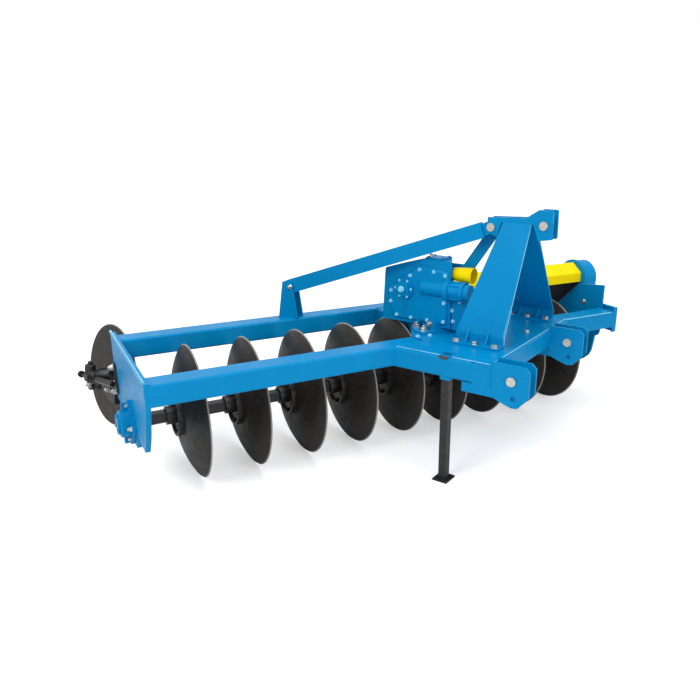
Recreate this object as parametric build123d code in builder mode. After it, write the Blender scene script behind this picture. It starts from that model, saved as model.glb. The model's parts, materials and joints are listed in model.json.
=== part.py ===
"""Tractor-mounted disc plough whose nine discs are driven from the power take-off.

Frame: +X is the direction of travel, +Y is the driver's left, +Z is up, and the
ground is at Z = 0.  The origin is on the ground at the middle of the plan outline.
All sizes are millimetres.

Most of the plough follows its disc gang, which stands at an angle to the travel.
A place on it is given as (along, across, height): along the gang axis from the rim
of the rearmost disc towards the left front, across it towards the rear, and above
the ground.  Pieces in line with the travel use (ahead, left, height), measured
from that same rim centre.  Both kinds are turned into model points below.
"""

import os
from math import atan2, cos, degrees, radians, sin, sqrt

from build123d import *

# Discs
DISC_COUNT = 9
DISC_DIAMETER = 660.0
DISC_SPACING = 284.0
DISC_DISH = 66.0
DISC_THICKNESS = 6.0
DISC_FLAT = 112.0            # radius of the flat middle that the hub bolts to
DISC_BEVEL_ALONG = 10.8      # the sharpened edge, along the axis and down from the rim
DISC_BEVEL_DOWN = 9.0

# Gang axle and hubs
GANG_ANGLE = 63.25           # degrees from the travel to the gang axis
AXLE_SQUARE = 50.0
AXLE_FIT = 0.3               # clearance of the hubs and discs on the square axle
JOURNAL_DIAMETER = 48.0
JOURNAL_FIT = 0.4            # clearance of a shaft in its bearing
HUB_DIAMETER = 216.0
HUB_FLANGE = 12.0
HUB_RIM = 12.0               # raised ring round the hub flange
HUB_BARREL_DIAMETER = 90.0
HUB_BARREL = 60.0
CLAMP_DIAMETER = 150.0
CLAMP_THICKNESS = 10.0

# Main frame
BEAM_WIDTH = 120.0
BEAM_HEIGHT = 100.0
BEAM_WALL = 8.0
BEAM_CORNER = 12.0
FRAME_TOP = 640.0
FRONT_FACE = -421.0          # across: front face of the front beam
REAR_FACE = 438.0            # across: rear face of the rear beam
RIGHT_END = -281.0           # along: outer face of the right end plate
LEFT_MARGIN = 148.0          # from the last disc's rim to the outer face of the left end plate
LEFT_END = (DISC_COUNT - 1) * DISC_SPACING + LEFT_MARGIN   # along
RIGHT_PLATE = 22.0
LEFT_PLATE = 12.0
CROSS_TUBE_WIDTH = 80.0
CROSS_TUBE_BAYS = (4, 5)     # discs that they stand behind
CROSS_TUBE_BEHIND = 104.0    # from such a disc's rim to the tube's middle
END_GUARD_REACH = 30.0       # how far the front guard runs past the left end plate
END_GUARD_DEPTH = 130.0
END_GUARD_SHEET = 10.0
END_GUARD_ABOVE = 22.0
END_GUARD_BELOW = 28.0

# Hitch
HITCH_LEFT = 1009.0          # left: middle of the hitch
HITCH_SPREAD = 820.0         # between the right faces of the first and the last plate
HITCH_FRONT = 1296.0         # ahead: front face of the cross beam
HITCH_PIN_AHEAD = 1395.0
HITCH_PIN_HEIGHT = 588.0
HITCH_SPARE_AHEAD = 1405.0
HITCH_SPARE_HEIGHT = 507.0
HITCH_SPARE_DIAMETER = 24.0
HITCH_PIN_DIAMETER = 28.0
HITCH_PLATE = 12.0
HITCH_GAP = 62.0
HITCH_PLATE_REAR = 1150.0    # ahead
HITCH_PLATE_TOP = 662.0
HITCH_PLATE_EDGE = 73.0      # how far it reaches ahead of the spare hole
HITCH_PLATE_CHIN = 45.0      # how far it reaches below the spare hole
HITCH_PLATE_HEEL = 46.0      # how far it reaches below the beam at its rear
SIDE_BEAM_WIDTH = 100.0
DECK = 8.0
DECK_INSET = 8.0
PIN_FIT = 0.3                # clearance of a pin in its hole
PIN_HEAD = 10.0
PIN_HEAD_RIM = 8.0
PIN_END = 16.0

# Mast
MAST_PLATE = 12.0
MAST_KNEE = 700.0            # height where the sides bend inwards
MAST_TOP = 1235.0
MAST_FLANGE = 62.0
EAR_GAP = 54.0
EAR_PLATE = 12.0
TOP_PIN_DIAMETER = 25.0
TOP_PIN = (1354.0, 1232.0)   # ahead, height
BRACE_PIN = (1089.0, 1208.0)

# Drive
INPUT_HEIGHT = 951.0
INPUT_SHAFT_DIAMETER = 34.9
INPUT_SEAL_DIAMETER = 42.0   # where the gearbox's seal runs on the shaft
SIDE_SHAFT_ACROSS = -55.0
SIDE_SHAFT_HEIGHT = 785.0
SIDE_SHAFT_DIAMETER = 45.0
CASE_INNER_COVER = 4.0
CASE_THICKNESS = 104.0
CASE_FLANGE = 20.0
CASE_FLANGE_RIM = 7.0        # how far its flange stands out from its body
CASE_COVER = 14.0
CASE_COVER_INSET = 12.0
CASE_WALL = 20.0
CASE_TOP_RADIUS = 108.0
CASE_LOW_RADIUS = 140.0

# Parking stand
STAND_AHEAD = 1058.0
STAND_LEFT = 629.0
STAND_LEG = 40.0
STAND_WALL = 5.0
STAND_FIT = 0.8
STAND_TOP = 600.0
STAND_FOOT = (80.0, 90.0)
STAND_FOOT_THICKNESS = 8.0

# Furrow disc behind the right end
TAIL_DIAMETER = 560.0
TAIL_THICKNESS = 6.0
TAIL_TOE = 10.0              # degrees that its plane points to the right
TAIL_LEAN = 8.5              # degrees that its top leans to the left
TAIL_AHEAD = -721.0
TAIL_LEFT = 60.0
TAIL_HEIGHT = 354.0

# Directions and the origin
GANG_COS = cos(radians(GANG_ANGLE))
GANG_SIN = sin(radians(GANG_ANGLE))
GANG = (GANG_COS, GANG_SIN, 0)
REARWARD = (-GANG_SIN, GANG_COS, 0)
AXLE_HEIGHT = DISC_DIAMETER / 2


def ahead_left(along, across):
    """Plan place of a point of the gang, measured from the rearmost rim centre."""
    return (along * GANG_COS - across * GANG_SIN, along * GANG_SIN + across * GANG_COS)


tail_toe = radians(TAIL_TOE)
tail_lean = radians(TAIL_LEAN)
TAIL_ALONG = (cos(tail_toe), -sin(tail_toe), 0)
TAIL_LEFTWARD = (
    sin(tail_toe) * cos(tail_lean), cos(tail_toe) * cos(tail_lean), -sin(tail_lean)
)

# Plan outline: its front is the end guard, its left the drive case, its rear the furrow disc
outline_front = ahead_left(LEFT_END + END_GUARD_REACH, FRONT_FACE)[0]
outline_rear = TAIL_AHEAD - TAIL_DIAMETER / 2 * cos(tail_toe)
outline_right = ahead_left(RIGHT_END, FRONT_FACE)[1]
outline_left = ahead_left(LEFT_END, REAR_FACE)[1]
ORIGIN_AHEAD = (outline_front + outline_rear) / 2
ORIGIN_LEFT = (outline_right + outline_left) / 2


def gang_point(along, across, height):
    """Model point of a place given along and across the gang."""
    ahead, left = ahead_left(along, across)
    return (ahead - ORIGIN_AHEAD, left - ORIGIN_LEFT, height)


def travel_point(ahead, left, height):
    """Model point of a place given in line with the travel."""
    return (ahead - ORIGIN_AHEAD, left - ORIGIN_LEFT, height)


def gang_section(along):
    """Upright plane square to the gang: x is across, y is height, z runs along."""
    return Plane(origin=gang_point(along, 0, 0), x_dir=REARWARD, z_dir=GANG)


def gang_level(height):
    """Level plane of the gang: x is along, y is across."""
    return Plane(origin=gang_point(0, 0, height), x_dir=GANG, z_dir=(0, 0, 1))


def side_section(left):
    """Upright plane in line with the travel: x is ahead, y is height, z is right."""
    return Plane(origin=travel_point(0, left, 0), x_dir=(1, 0, 0), z_dir=(0, -1, 0))


def cross_section(ahead):
    """Upright plane square to the travel: x is left, y is height, z is ahead."""
    return Plane(origin=travel_point(ahead, 0, 0), x_dir=(0, 1, 0), z_dir=(1, 0, 0))


def travel_level(height):
    """Level plane: x is ahead, y is left."""
    return Plane(origin=travel_point(0, 0, height), x_dir=(1, 0, 0), z_dir=(0, 0, 1))


os.makedirs("parts", exist_ok=True)


def finish(builder, name):
    """Label a finished piece and write it."""
    builder.part.label = name
    export_step(builder.part, f"parts/{name}.step")


def box_tube(plane, middle, size, length, wall=BEAM_WALL):
    """Square tube with rounded corners, extruded from its section's plane."""
    with BuildPart() as tube:
        with BuildSketch(plane):
            with Locations(middle):
                RectangleRounded(size[0], size[1], BEAM_CORNER)
                RectangleRounded(
                    size[0] - 2 * wall, size[1] - 2 * wall, BEAM_CORNER / 2, mode=Mode.SUBTRACT
                )
        extrude(amount=length)
    return tube


# Main beams
beam_start = RIGHT_END + RIGHT_PLATE
beam_length = LEFT_END - LEFT_PLATE - beam_start
beam_middle_height = FRAME_TOP - BEAM_HEIGHT / 2
beam_underside = FRAME_TOP - BEAM_HEIGHT
BEAM_MIDDLES = {
    "front_beam": FRONT_FACE + BEAM_WIDTH / 2,
    "rear_beam": REAR_FACE - BEAM_WIDTH / 2,
}
for name, across in BEAM_MIDDLES.items():
    beam = box_tube(
        gang_section(beam_start), (across, beam_middle_height), (BEAM_WIDTH, BEAM_HEIGHT), beam_length
    )
    finish(beam, name)

# Cross tubes between the beams, each between two discs
cross_tube_length = REAR_FACE - FRONT_FACE - 2 * BEAM_WIDTH
for number, bay in enumerate(CROSS_TUBE_BAYS, 1):
    along = bay * DISC_SPACING + CROSS_TUBE_BEHIND
    cross_plane = Plane(
        origin=gang_point(along, FRONT_FACE + BEAM_WIDTH, 0), x_dir=(-GANG_COS, -GANG_SIN, 0),
        z_dir=REARWARD,
    )
    cross_tube = box_tube(
        cross_plane, (0, beam_middle_height), (CROSS_TUBE_WIDTH, BEAM_HEIGHT), cross_tube_length
    )
    finish(cross_tube, f"cross_tube_{number}")

# Right end plate, which carries the rear bearing and the furrow disc
BEARING_FLANGE = 165.0
BEARING_FLANGE_THICKNESS = 18.0
BEARING_HOUSING_DIAMETER = 130.0
BEARING_HOUSING = 60.0
BEARING_CAP = 12.0
BEARING_CORNER = 14.0
BEARING_CHAMFER = 6.0
BEARING_COVER_DIAMETER = 96.0
BEARING_COVER = 10.0
BEARING_RIB = (16.0, 200.0)  # upright rib over the flange: width, height
BEARING_RIB_DEPTH = 44.0
PLATE_LIP = 9.0              # how far the plate stands above the beams
PLATE_BEHIND = 30.0          # how far it stands behind the rear beam
PLATE_BOTTOM = 295.0
PLATE_CORNER = (-356.0, 385.0)
PLATE_TOE = -294.0
SEAT_HALF = BEARING_FLANGE * 0.68   # half width of its tongue under the bearing
AXLE_HOLE = 76.0
plate_rear = REAR_FACE + PLATE_BEHIND
seat_bottom = AXLE_HEIGHT - SEAT_HALF
with BuildPart() as right_end_plate:
    with BuildSketch(gang_section(RIGHT_END)):
        with BuildLine():
            Polyline(
                (FRONT_FACE, FRAME_TOP + PLATE_LIP),
                (plate_rear, FRAME_TOP + PLATE_LIP),
                (plate_rear, PLATE_BOTTOM),
                (SEAT_HALF, PLATE_BOTTOM),
                (SEAT_HALF / 2, seat_bottom),
                (-SEAT_HALF / 2, seat_bottom),
                (-SEAT_HALF, PLATE_BOTTOM),
                (PLATE_TOE, PLATE_BOTTOM),
                PLATE_CORNER,
                (FRONT_FACE, beam_underside),
                close=True,
            )
        make_face()
        with Locations((0, AXLE_HEIGHT)):
            Circle(AXLE_HOLE / 2, mode=Mode.SUBTRACT)
    extrude(amount=RIGHT_PLATE)
finish(right_end_plate, "right_end_plate")

# Rear bearing: a square flange on its corner, with a round housing and a closed cap
with BuildPart() as right_bearing:
    with BuildSketch(gang_section(RIGHT_END)):
        with Locations((0, AXLE_HEIGHT)):
            RectangleRounded(BEARING_FLANGE, BEARING_FLANGE, BEARING_CORNER, rotation=45)
    extrude(amount=-BEARING_FLANGE_THICKNESS)
    with BuildSketch(gang_section(RIGHT_END)):
        with Locations((0, AXLE_HEIGHT)):
            Rectangle(*BEARING_RIB)
    extrude(amount=-BEARING_RIB_DEPTH)
    with BuildSketch(gang_section(RIGHT_END)):
        with Locations((0, AXLE_HEIGHT)):
            Circle(BEARING_HOUSING_DIAMETER / 2)
    housing = extrude(amount=-BEARING_HOUSING)
    chamfer(housing.faces().sort_by(Axis(gang_point(0, 0, 0), GANG))[0].edges(), BEARING_CHAMFER)
    with BuildSketch(gang_section(RIGHT_END - BEARING_HOUSING)):
        with Locations((0, AXLE_HEIGHT)):
            Circle(BEARING_COVER_DIAMETER / 2)
    extrude(amount=-BEARING_COVER)
    with BuildSketch(gang_section(RIGHT_END)):
        with Locations((0, AXLE_HEIGHT)):
            Circle(JOURNAL_DIAMETER / 2 + JOURNAL_FIT)
    extrude(amount=BEARING_CAP - BEARING_HOUSING, mode=Mode.SUBTRACT)
finish(right_bearing, "right_bearing")

# Left end plate, with a head in front of the drive case
HEAD_FRONT = -333.0          # across: front edge of the head
HEAD_TOP = 786.0
HEAD_REAR = (-131.0, 762.0)  # across, height: where the head's sloping edge begins
HEAD_HEEL = (37.0, 604.0)
HEAD_ROOT = (120.0, 560.0)
LEFT_PLATE_BOTTOM = 210.0
LEFT_PLATE_FOOT = 120.0      # half width of its lower edge
SHAFT_HOLE_MARGIN = 10.0
case_top = (SIDE_SHAFT_ACROSS, SIDE_SHAFT_HEIGHT)
rear_beam_front = REAR_FACE - BEAM_WIDTH
with BuildPart() as left_end_plate:
    with BuildSketch(gang_section(LEFT_END - LEFT_PLATE)):
        with BuildLine():
            Polyline(
                (FRONT_FACE, FRAME_TOP),
                (HEAD_FRONT, FRAME_TOP),
                (HEAD_FRONT, HEAD_TOP),
                HEAD_REAR,
                HEAD_HEEL,
                HEAD_ROOT,
                (rear_beam_front, HEAD_ROOT[1]),
                (rear_beam_front, FRAME_TOP),
                (REAR_FACE, FRAME_TOP),
                (REAR_FACE, beam_underside),
                (LEFT_PLATE_FOOT, LEFT_PLATE_BOTTOM),
                (-LEFT_PLATE_FOOT, LEFT_PLATE_BOTTOM),
                (FRONT_FACE, beam_underside),
                close=True,
            )
        make_face()
        with Locations((0, AXLE_HEIGHT)):
            Circle(AXLE_HOLE / 2, mode=Mode.SUBTRACT)
    extrude(amount=LEFT_PLATE)
finish(left_end_plate, "left_end_plate")

# Guard on the front corner, past the left end plate
guard_end = LEFT_END + END_GUARD_REACH
with BuildPart() as end_guard:
    with BuildSketch(gang_level(beam_underside - END_GUARD_BELOW)):
        with BuildLine():
            Polyline(
                (LEFT_END, FRONT_FACE),
                (guard_end, FRONT_FACE),
                (guard_end, FRONT_FACE + END_GUARD_DEPTH),
                (guard_end - END_GUARD_SHEET, FRONT_FACE + END_GUARD_DEPTH),
                (guard_end - END_GUARD_SHEET, FRONT_FACE + END_GUARD_SHEET),
                (LEFT_END, FRONT_FACE + END_GUARD_SHEET),
                close=True,
            )
        make_face()
    extrude(amount=END_GUARD_BELOW + BEAM_HEIGHT + END_GUARD_ABOVE)
finish(end_guard, "end_guard")

# Drive case at the left end: an upright oblong over the two shafts, with a bolted flange
CASE_LAYERS = (              # from the end plate: near face, far face, change of both radii
    (CASE_INNER_COVER, CASE_FLANGE, CASE_FLANGE_RIM),
    (CASE_FLANGE, CASE_THICKNESS, 0.0),
    (CASE_THICKNESS, CASE_THICKNESS + CASE_COVER, -CASE_COVER_INSET),
)
with BuildPart() as case_inner_cover:
    with BuildSketch(gang_section(LEFT_END)):
        with BuildLine():
            CenterArc(case_top, CASE_TOP_RADIUS + CASE_FLANGE_RIM, 0, 360)
            CenterArc((0, AXLE_HEIGHT), CASE_LOW_RADIUS + CASE_FLANGE_RIM, 0, 360)
        make_hull()
        with Locations(case_top):
            Circle(SIDE_SHAFT_DIAMETER / 2 + SHAFT_HOLE_MARGIN, mode=Mode.SUBTRACT)
        with Locations((0, AXLE_HEIGHT)):
            Circle(AXLE_HOLE / 2, mode=Mode.SUBTRACT)
    extrude(amount=CASE_INNER_COVER)
finish(case_inner_cover, "case_inner_cover")

with BuildPart() as side_case:
    for near_face, far_face, wider in CASE_LAYERS:
        with BuildSketch(gang_section(LEFT_END + near_face)):
            with BuildLine():
                CenterArc(case_top, CASE_TOP_RADIUS + wider, 0, 360)
                CenterArc((0, AXLE_HEIGHT), CASE_LOW_RADIUS + wider, 0, 360)
            make_hull()
        extrude(amount=far_face - near_face)
    with BuildSketch(gang_section(LEFT_END)):
        with Locations(case_top):
            Circle(SIDE_SHAFT_DIAMETER / 2 + JOURNAL_FIT)
        with Locations((0, AXLE_HEIGHT)):
            Circle(JOURNAL_DIAMETER / 2 + JOURNAL_FIT)
    extrude(amount=CASE_THICKNESS - CASE_WALL, mode=Mode.SUBTRACT)
finish(side_case, "side_case")

# Hitch frame: a side beam and a cross beam that meet the front beam's face
front_face_plane = Plane(origin=gang_point(0, FRONT_FACE, 0), x_dir=GANG, z_dir=REARWARD)
side_beam_left = HITCH_LEFT - HITCH_SPREAD / 2
hitch_far_left = HITCH_LEFT + HITCH_SPREAD / 2
side_beam_section = (SIDE_BEAM_WIDTH, BEAM_HEIGHT)
stand_hole = STAND_LEG + 2 * STAND_FIT
stand_outer = stand_hole + 2 * STAND_WALL
side_beam_rear = (side_beam_left * GANG_COS - FRONT_FACE) / GANG_SIN      # ahead
cross_beam_end = (HITCH_FRONT * GANG_SIN + FRONT_FACE) / GANG_COS         # left

with BuildPart() as side_beam:
    add(
        box_tube(
            cross_section(HITCH_FRONT - SIDE_BEAM_WIDTH),
            (side_beam_left + SIDE_BEAM_WIDTH / 2, beam_middle_height),
            side_beam_section,
            side_beam_rear - HITCH_FRONT,
        ).part
    )
    split(bisect_by=front_face_plane, keep=Keep.BOTTOM)
    with BuildSketch(travel_level(beam_underside)):
        with Locations((STAND_AHEAD, STAND_LEFT)):
            Rectangle(stand_outer, stand_outer)
    extrude(amount=BEAM_HEIGHT, mode=Mode.SUBTRACT)
finish(side_beam, "side_beam")

with BuildPart() as cross_beam:
    add(
        box_tube(
            side_section(side_beam_left),
            (HITCH_FRONT - SIDE_BEAM_WIDTH / 2, beam_middle_height),
            side_beam_section,
            side_beam_left - cross_beam_end,
        ).part
    )
    split(bisect_by=front_face_plane, keep=Keep.BOTTOM)
    with BuildSketch(side_section(side_beam_left)):
        with Locations((HITCH_FRONT - SIDE_BEAM_WIDTH / 2, beam_middle_height)):
            RectangleRounded(*side_beam_section, BEAM_CORNER)
    extrude(amount=-BEAM_WALL)
finish(cross_beam, "cross_beam")

# Deck plate over the hitch triangle and the front beam
DECK_ALONG = (1060.0, 1860.0)
DECK_REAR = -140.0           # across: rear edge, clear of the discs
SADDLE_ALONG = (1165.0, 1345.0)   # between two discs it reaches further under the gearbox
SADDLE_REAR = -66.0
deck_front = HITCH_FRONT - DECK_INSET
deck_right = side_beam_left + DECK_INSET
deck_front_left = (deck_front * GANG_SIN + FRONT_FACE) / GANG_COS
deck_right_ahead = (deck_right * GANG_COS - FRONT_FACE) / GANG_SIN
with BuildPart() as deck:
    with BuildSketch(travel_level(FRAME_TOP)):
        with BuildLine():
            Polyline(
                (deck_right_ahead, deck_right),
                (deck_front, deck_right),
                (deck_front, deck_front_left),
                ahead_left(DECK_ALONG[1], FRONT_FACE),
                ahead_left(DECK_ALONG[1], DECK_REAR),
                ahead_left(SADDLE_ALONG[1], DECK_REAR),
                ahead_left(SADDLE_ALONG[1], SADDLE_REAR),
                ahead_left(SADDLE_ALONG[0], SADDLE_REAR),
                ahead_left(SADDLE_ALONG[0], DECK_REAR),
                ahead_left(DECK_ALONG[0], DECK_REAR),
                ahead_left(DECK_ALONG[0], FRONT_FACE),
                close=True,
            )
        make_face()
        with Locations((STAND_AHEAD, STAND_LEFT)):
            Rectangle(stand_outer, stand_outer, mode=Mode.SUBTRACT)
    extrude(amount=DECK)
finish(deck, "deck")

# Hitch plates: a pair on each side, with a pin hole and a spare hole below
plate_heel = beam_underside - HITCH_PLATE_HEEL
plate_chin = HITCH_SPARE_HEIGHT - HITCH_PLATE_CHIN
plate_edge = HITCH_SPARE_AHEAD + HITCH_PLATE_EDGE
HITCH_PLATE_OUTLINE = (      # ahead, height, from where it meets the beam's underside
    (HITCH_PLATE_REAR, beam_underside),
    (HITCH_PLATE_REAR, plate_heel),
    (HITCH_SPARE_AHEAD - 95.0, plate_heel),
    (HITCH_SPARE_AHEAD - 55.0, plate_chin + 16.0),
    (HITCH_SPARE_AHEAD - 5.0, plate_chin),
    (HITCH_SPARE_AHEAD + 25.0, plate_chin + 4.0),
    (plate_edge, HITCH_SPARE_HEIGHT + 13.0),
    (plate_edge, HITCH_PLATE_TOP - 22.0),
    (plate_edge - 23.0, HITCH_PLATE_TOP),
    (HITCH_FRONT, HITCH_PLATE_TOP),
    (HITCH_FRONT, beam_underside),
)
lower_pin_place = (HITCH_PIN_AHEAD, HITCH_PIN_HEIGHT)
hitch_lefts = (
    side_beam_left,
    side_beam_left + HITCH_PLATE + HITCH_GAP,
    hitch_far_left - HITCH_PLATE - HITCH_GAP,
    hitch_far_left,
)
for number, left in enumerate(hitch_lefts, 1):
    with BuildPart() as hitch_plate:
        with BuildSketch(side_section(left)):
            with BuildLine():
                Polyline(*HITCH_PLATE_OUTLINE, close=True)
            make_face()
            with Locations(lower_pin_place):
                Circle(HITCH_PIN_DIAMETER / 2 + PIN_FIT, mode=Mode.SUBTRACT)
            with Locations((HITCH_SPARE_AHEAD, HITCH_SPARE_HEIGHT)):
                Circle(HITCH_SPARE_DIAMETER / 2, mode=Mode.SUBTRACT)
        extrude(amount=-HITCH_PLATE)
    finish(hitch_plate, f"hitch_plate_{number}")


def cross_pin(place, left, grip, diameter):
    """Headed pin from right to left through what it holds."""
    with BuildPart() as pin:
        with BuildSketch(side_section(left)):
            with Locations(place):
                Circle(diameter / 2)
        extrude(amount=-(grip + PIN_END))
        with BuildSketch(side_section(left)):
            with Locations(place):
                Circle(diameter / 2 + PIN_HEAD_RIM)
        extrude(amount=PIN_HEAD)
    return pin


hitch_grip = 2 * HITCH_PLATE + HITCH_GAP
finish(cross_pin(lower_pin_place, hitch_lefts[0], hitch_grip, HITCH_PIN_DIAMETER), "lower_pin_right")
finish(cross_pin(lower_pin_place, hitch_lefts[2], hitch_grip, HITCH_PIN_DIAMETER), "lower_pin_left")

# Mast legs: an upright foot with a flange, then a plate that leans in to the top
EAR_RIGHT = HITCH_LEFT - EAR_GAP / 2 - EAR_PLATE
EAR_LEFT = HITCH_LEFT + EAR_GAP / 2
mast_base = FRAME_TOP + DECK
MAST_LEGS = (                # name, left: right face of the foot, right face of the top
    ("mast_right", 850.0, EAR_RIGHT),
    ("mast_left", 1528.0, EAR_LEFT),
)
MAST_OUTLINE = (             # ahead, height
    (983.0, mast_base),
    (1240.0, mast_base),
    (1240.0, MAST_KNEE),
    (1290.0, MAST_TOP),
    (1150.0, MAST_TOP),
    (983.0, MAST_KNEE),
)
mast_middle = (MAST_OUTLINE[0][0] + MAST_OUTLINE[1][0]) / 2
mast_foot_length = MAST_OUTLINE[1][0] - MAST_OUTLINE[0][0]
for name, foot, top in MAST_LEGS:
    with BuildPart() as mast_leg:
        with BuildSketch(cross_section(MAST_OUTLINE[0][0])):
            with BuildLine():
                Polyline(
                    (foot, mast_base),
                    (foot, MAST_KNEE),
                    (top, MAST_TOP),
                    (top + MAST_PLATE, MAST_TOP),
                    (foot + MAST_PLATE, MAST_KNEE),
                    (foot + MAST_PLATE, mast_base),
                    close=True,
                )
            make_face()
        extrude(amount=MAST_OUTLINE[3][0] - MAST_OUTLINE[0][0])
        with BuildSketch(side_section(foot + MAST_PLATE)):
            with BuildLine():
                Polyline(*MAST_OUTLINE, close=True)
            make_face()
        extrude(amount=foot - top, both=True, mode=Mode.INTERSECT)
        with BuildSketch(travel_level(mast_base)):
            with Locations((mast_middle, foot - MAST_FLANGE / 2)):
                Rectangle(mast_foot_length, MAST_FLANGE)
        extrude(amount=MAST_PLATE)
    finish(mast_leg, name)

# Ears at the top of the mast
EAR_OUTLINE = (              # ahead, height
    (1068.0, 1255.0),
    (1262.0, 1262.0),
    (1325.0, 1303.0),
    (1388.0, 1303.0),
    (1394.0, 1296.0),
    (1396.0, 1170.0),
    (1330.0, 1160.0),
    (1300.0, MAST_TOP),
    (1140.0, MAST_TOP),
    (1120.0, 1165.0),
    (1066.0, 1180.0),
)
for name, left in (("ear_right", EAR_RIGHT), ("ear_left", EAR_LEFT)):
    with BuildPart() as ear:
        with BuildSketch(side_section(left)):
            with BuildLine():
                Polyline(*EAR_OUTLINE, close=True)
            make_face()
            with Locations(TOP_PIN, BRACE_PIN):
                Circle(TOP_PIN_DIAMETER / 2 + PIN_FIT, mode=Mode.SUBTRACT)
        extrude(amount=-EAR_PLATE)
    finish(ear, name)

ear_grip = EAR_GAP + 2 * EAR_PLATE
STAY_PLATE = 12.0
finish(cross_pin(TOP_PIN, EAR_RIGHT, ear_grip, TOP_PIN_DIAMETER), "top_link_pin")
finish(cross_pin(BRACE_PIN, EAR_RIGHT, ear_grip + STAY_PLATE, TOP_PIN_DIAMETER), "brace_pin")

# Stay from the brace's pin down to a lug of the gearbox
STAY_WIDTH = 58.0
STAY_FOOT = (930.0, 975.0)   # ahead, height of its lower bolt
STAY_BOLT = 20.0
SEAT_GAP = 0.3               # between a bolted plate and its seat
stay_left = EAR_LEFT + EAR_PLATE + SEAT_GAP
stay_run = (BRACE_PIN[0] - STAY_FOOT[0], BRACE_PIN[1] - STAY_FOOT[1])
stay_middle = ((BRACE_PIN[0] + STAY_FOOT[0]) / 2, (BRACE_PIN[1] + STAY_FOOT[1]) / 2)
with BuildPart() as mast_stay:
    with BuildSketch(side_section(stay_left)):
        with Locations(stay_middle):
            SlotCenterToCenter(
                sqrt(stay_run[0] ** 2 + stay_run[1] ** 2),
                STAY_WIDTH,
                rotation=degrees(atan2(stay_run[1], stay_run[0])),
            )
        with Locations(BRACE_PIN):
            Circle(TOP_PIN_DIAMETER / 2 + PIN_FIT, mode=Mode.SUBTRACT)
    extrude(amount=-STAY_PLATE)
finish(mast_stay, "mast_stay")

# Brace from the rear beam to the mast, with an eye in line with the travel at the mast
BRACE_FOOT = (672.0, 378.0, 815.0)   # along, across, height of its lower pin
BRACE_SIZE = (50.0, 78.0)
BRACE_CHEEK = 10.0
BRACE_CHEEK_FOOT = 60.0
BRACE_CHEEK_TOP = 30.0
BRACE_PIN_STANDS_OUT = 8.0
BRACE_BAR_SHORT = 58.0       # how far the bar ends before the mast's pin
EYE_LENGTH = 150.0
EYE_HEIGHT = 62.0
foot_ahead, foot_left = ahead_left(BRACE_FOOT[0], BRACE_FOOT[1])
foot_point = Vector(*travel_point(foot_ahead, foot_left, BRACE_FOOT[2]))
mast_point = Vector(*travel_point(BRACE_PIN[0], HITCH_LEFT, BRACE_PIN[1]))
brace_vector = mast_point - foot_point
brace_side = Vector(0, 0, 1).cross(brace_vector).normalized()
brace_flat = Plane(origin=foot_point, x_dir=brace_vector, z_dir=-brace_side)
brace_pitch = atan2(brace_vector.Z, brace_vector.X)
bar_length = brace_vector.length - BRACE_BAR_SHORT
eye_middle = (
    BRACE_PIN[0] - (EYE_LENGTH - EYE_HEIGHT) / 2 * cos(brace_pitch),
    BRACE_PIN[1] - (EYE_LENGTH - EYE_HEIGHT) / 2 * sin(brace_pitch),
)
with BuildPart() as brace:
    with BuildSketch(brace_flat):
        with Locations((bar_length / 2, 0)):
            Rectangle(bar_length, BRACE_SIZE[1])
        Circle(BRACE_SIZE[1] / 2)
        Circle(TOP_PIN_DIAMETER / 2 + PIN_FIT, mode=Mode.SUBTRACT)
    extrude(amount=BRACE_SIZE[0] / 2, both=True)
    with BuildSketch(side_section(HITCH_LEFT)):
        with Locations(eye_middle):
            SlotOverall(EYE_LENGTH, EYE_HEIGHT, rotation=degrees(brace_pitch))
        with Locations(BRACE_PIN):
            Circle(TOP_PIN_DIAMETER / 2 + PIN_FIT, mode=Mode.SUBTRACT)
    extrude(amount=EAR_GAP / 2 - SEAT_GAP, both=True)
finish(brace, "brace")

# Bracket on the rear beam: two cheeks, with the pin of the brace's lower end
cheek_foot_height = FRAME_TOP - BRACE_FOOT[2]
with BuildPart() as brace_bracket:
    with BuildSketch(brace_flat):
        Circle(TOP_PIN_DIAMETER / 2)
    extrude(amount=BRACE_SIZE[0] / 2 + BRACE_CHEEK + BRACE_PIN_STANDS_OUT, both=True)
    for side in (-1, 1):
        cheek = Plane(
            origin=foot_point + brace_side * side * ((BRACE_SIZE[0] + BRACE_CHEEK) / 2 + SEAT_GAP),
            x_dir=(brace_vector.X, brace_vector.Y, 0),
            z_dir=-brace_side,
        )
        with BuildSketch(cheek):
            with BuildLine():
                Polyline(
                    (-BRACE_CHEEK_FOOT, cheek_foot_height),
                    (BRACE_CHEEK_FOOT, cheek_foot_height),
                    (BRACE_CHEEK_TOP, BRACE_CHEEK_TOP),
                    (-BRACE_CHEEK_TOP, BRACE_CHEEK_TOP),
                    close=True,
                )
            make_face()
        extrude(amount=BRACE_CHEEK / 2, both=True)
finish(brace_bracket, "brace_bracket")

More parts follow.
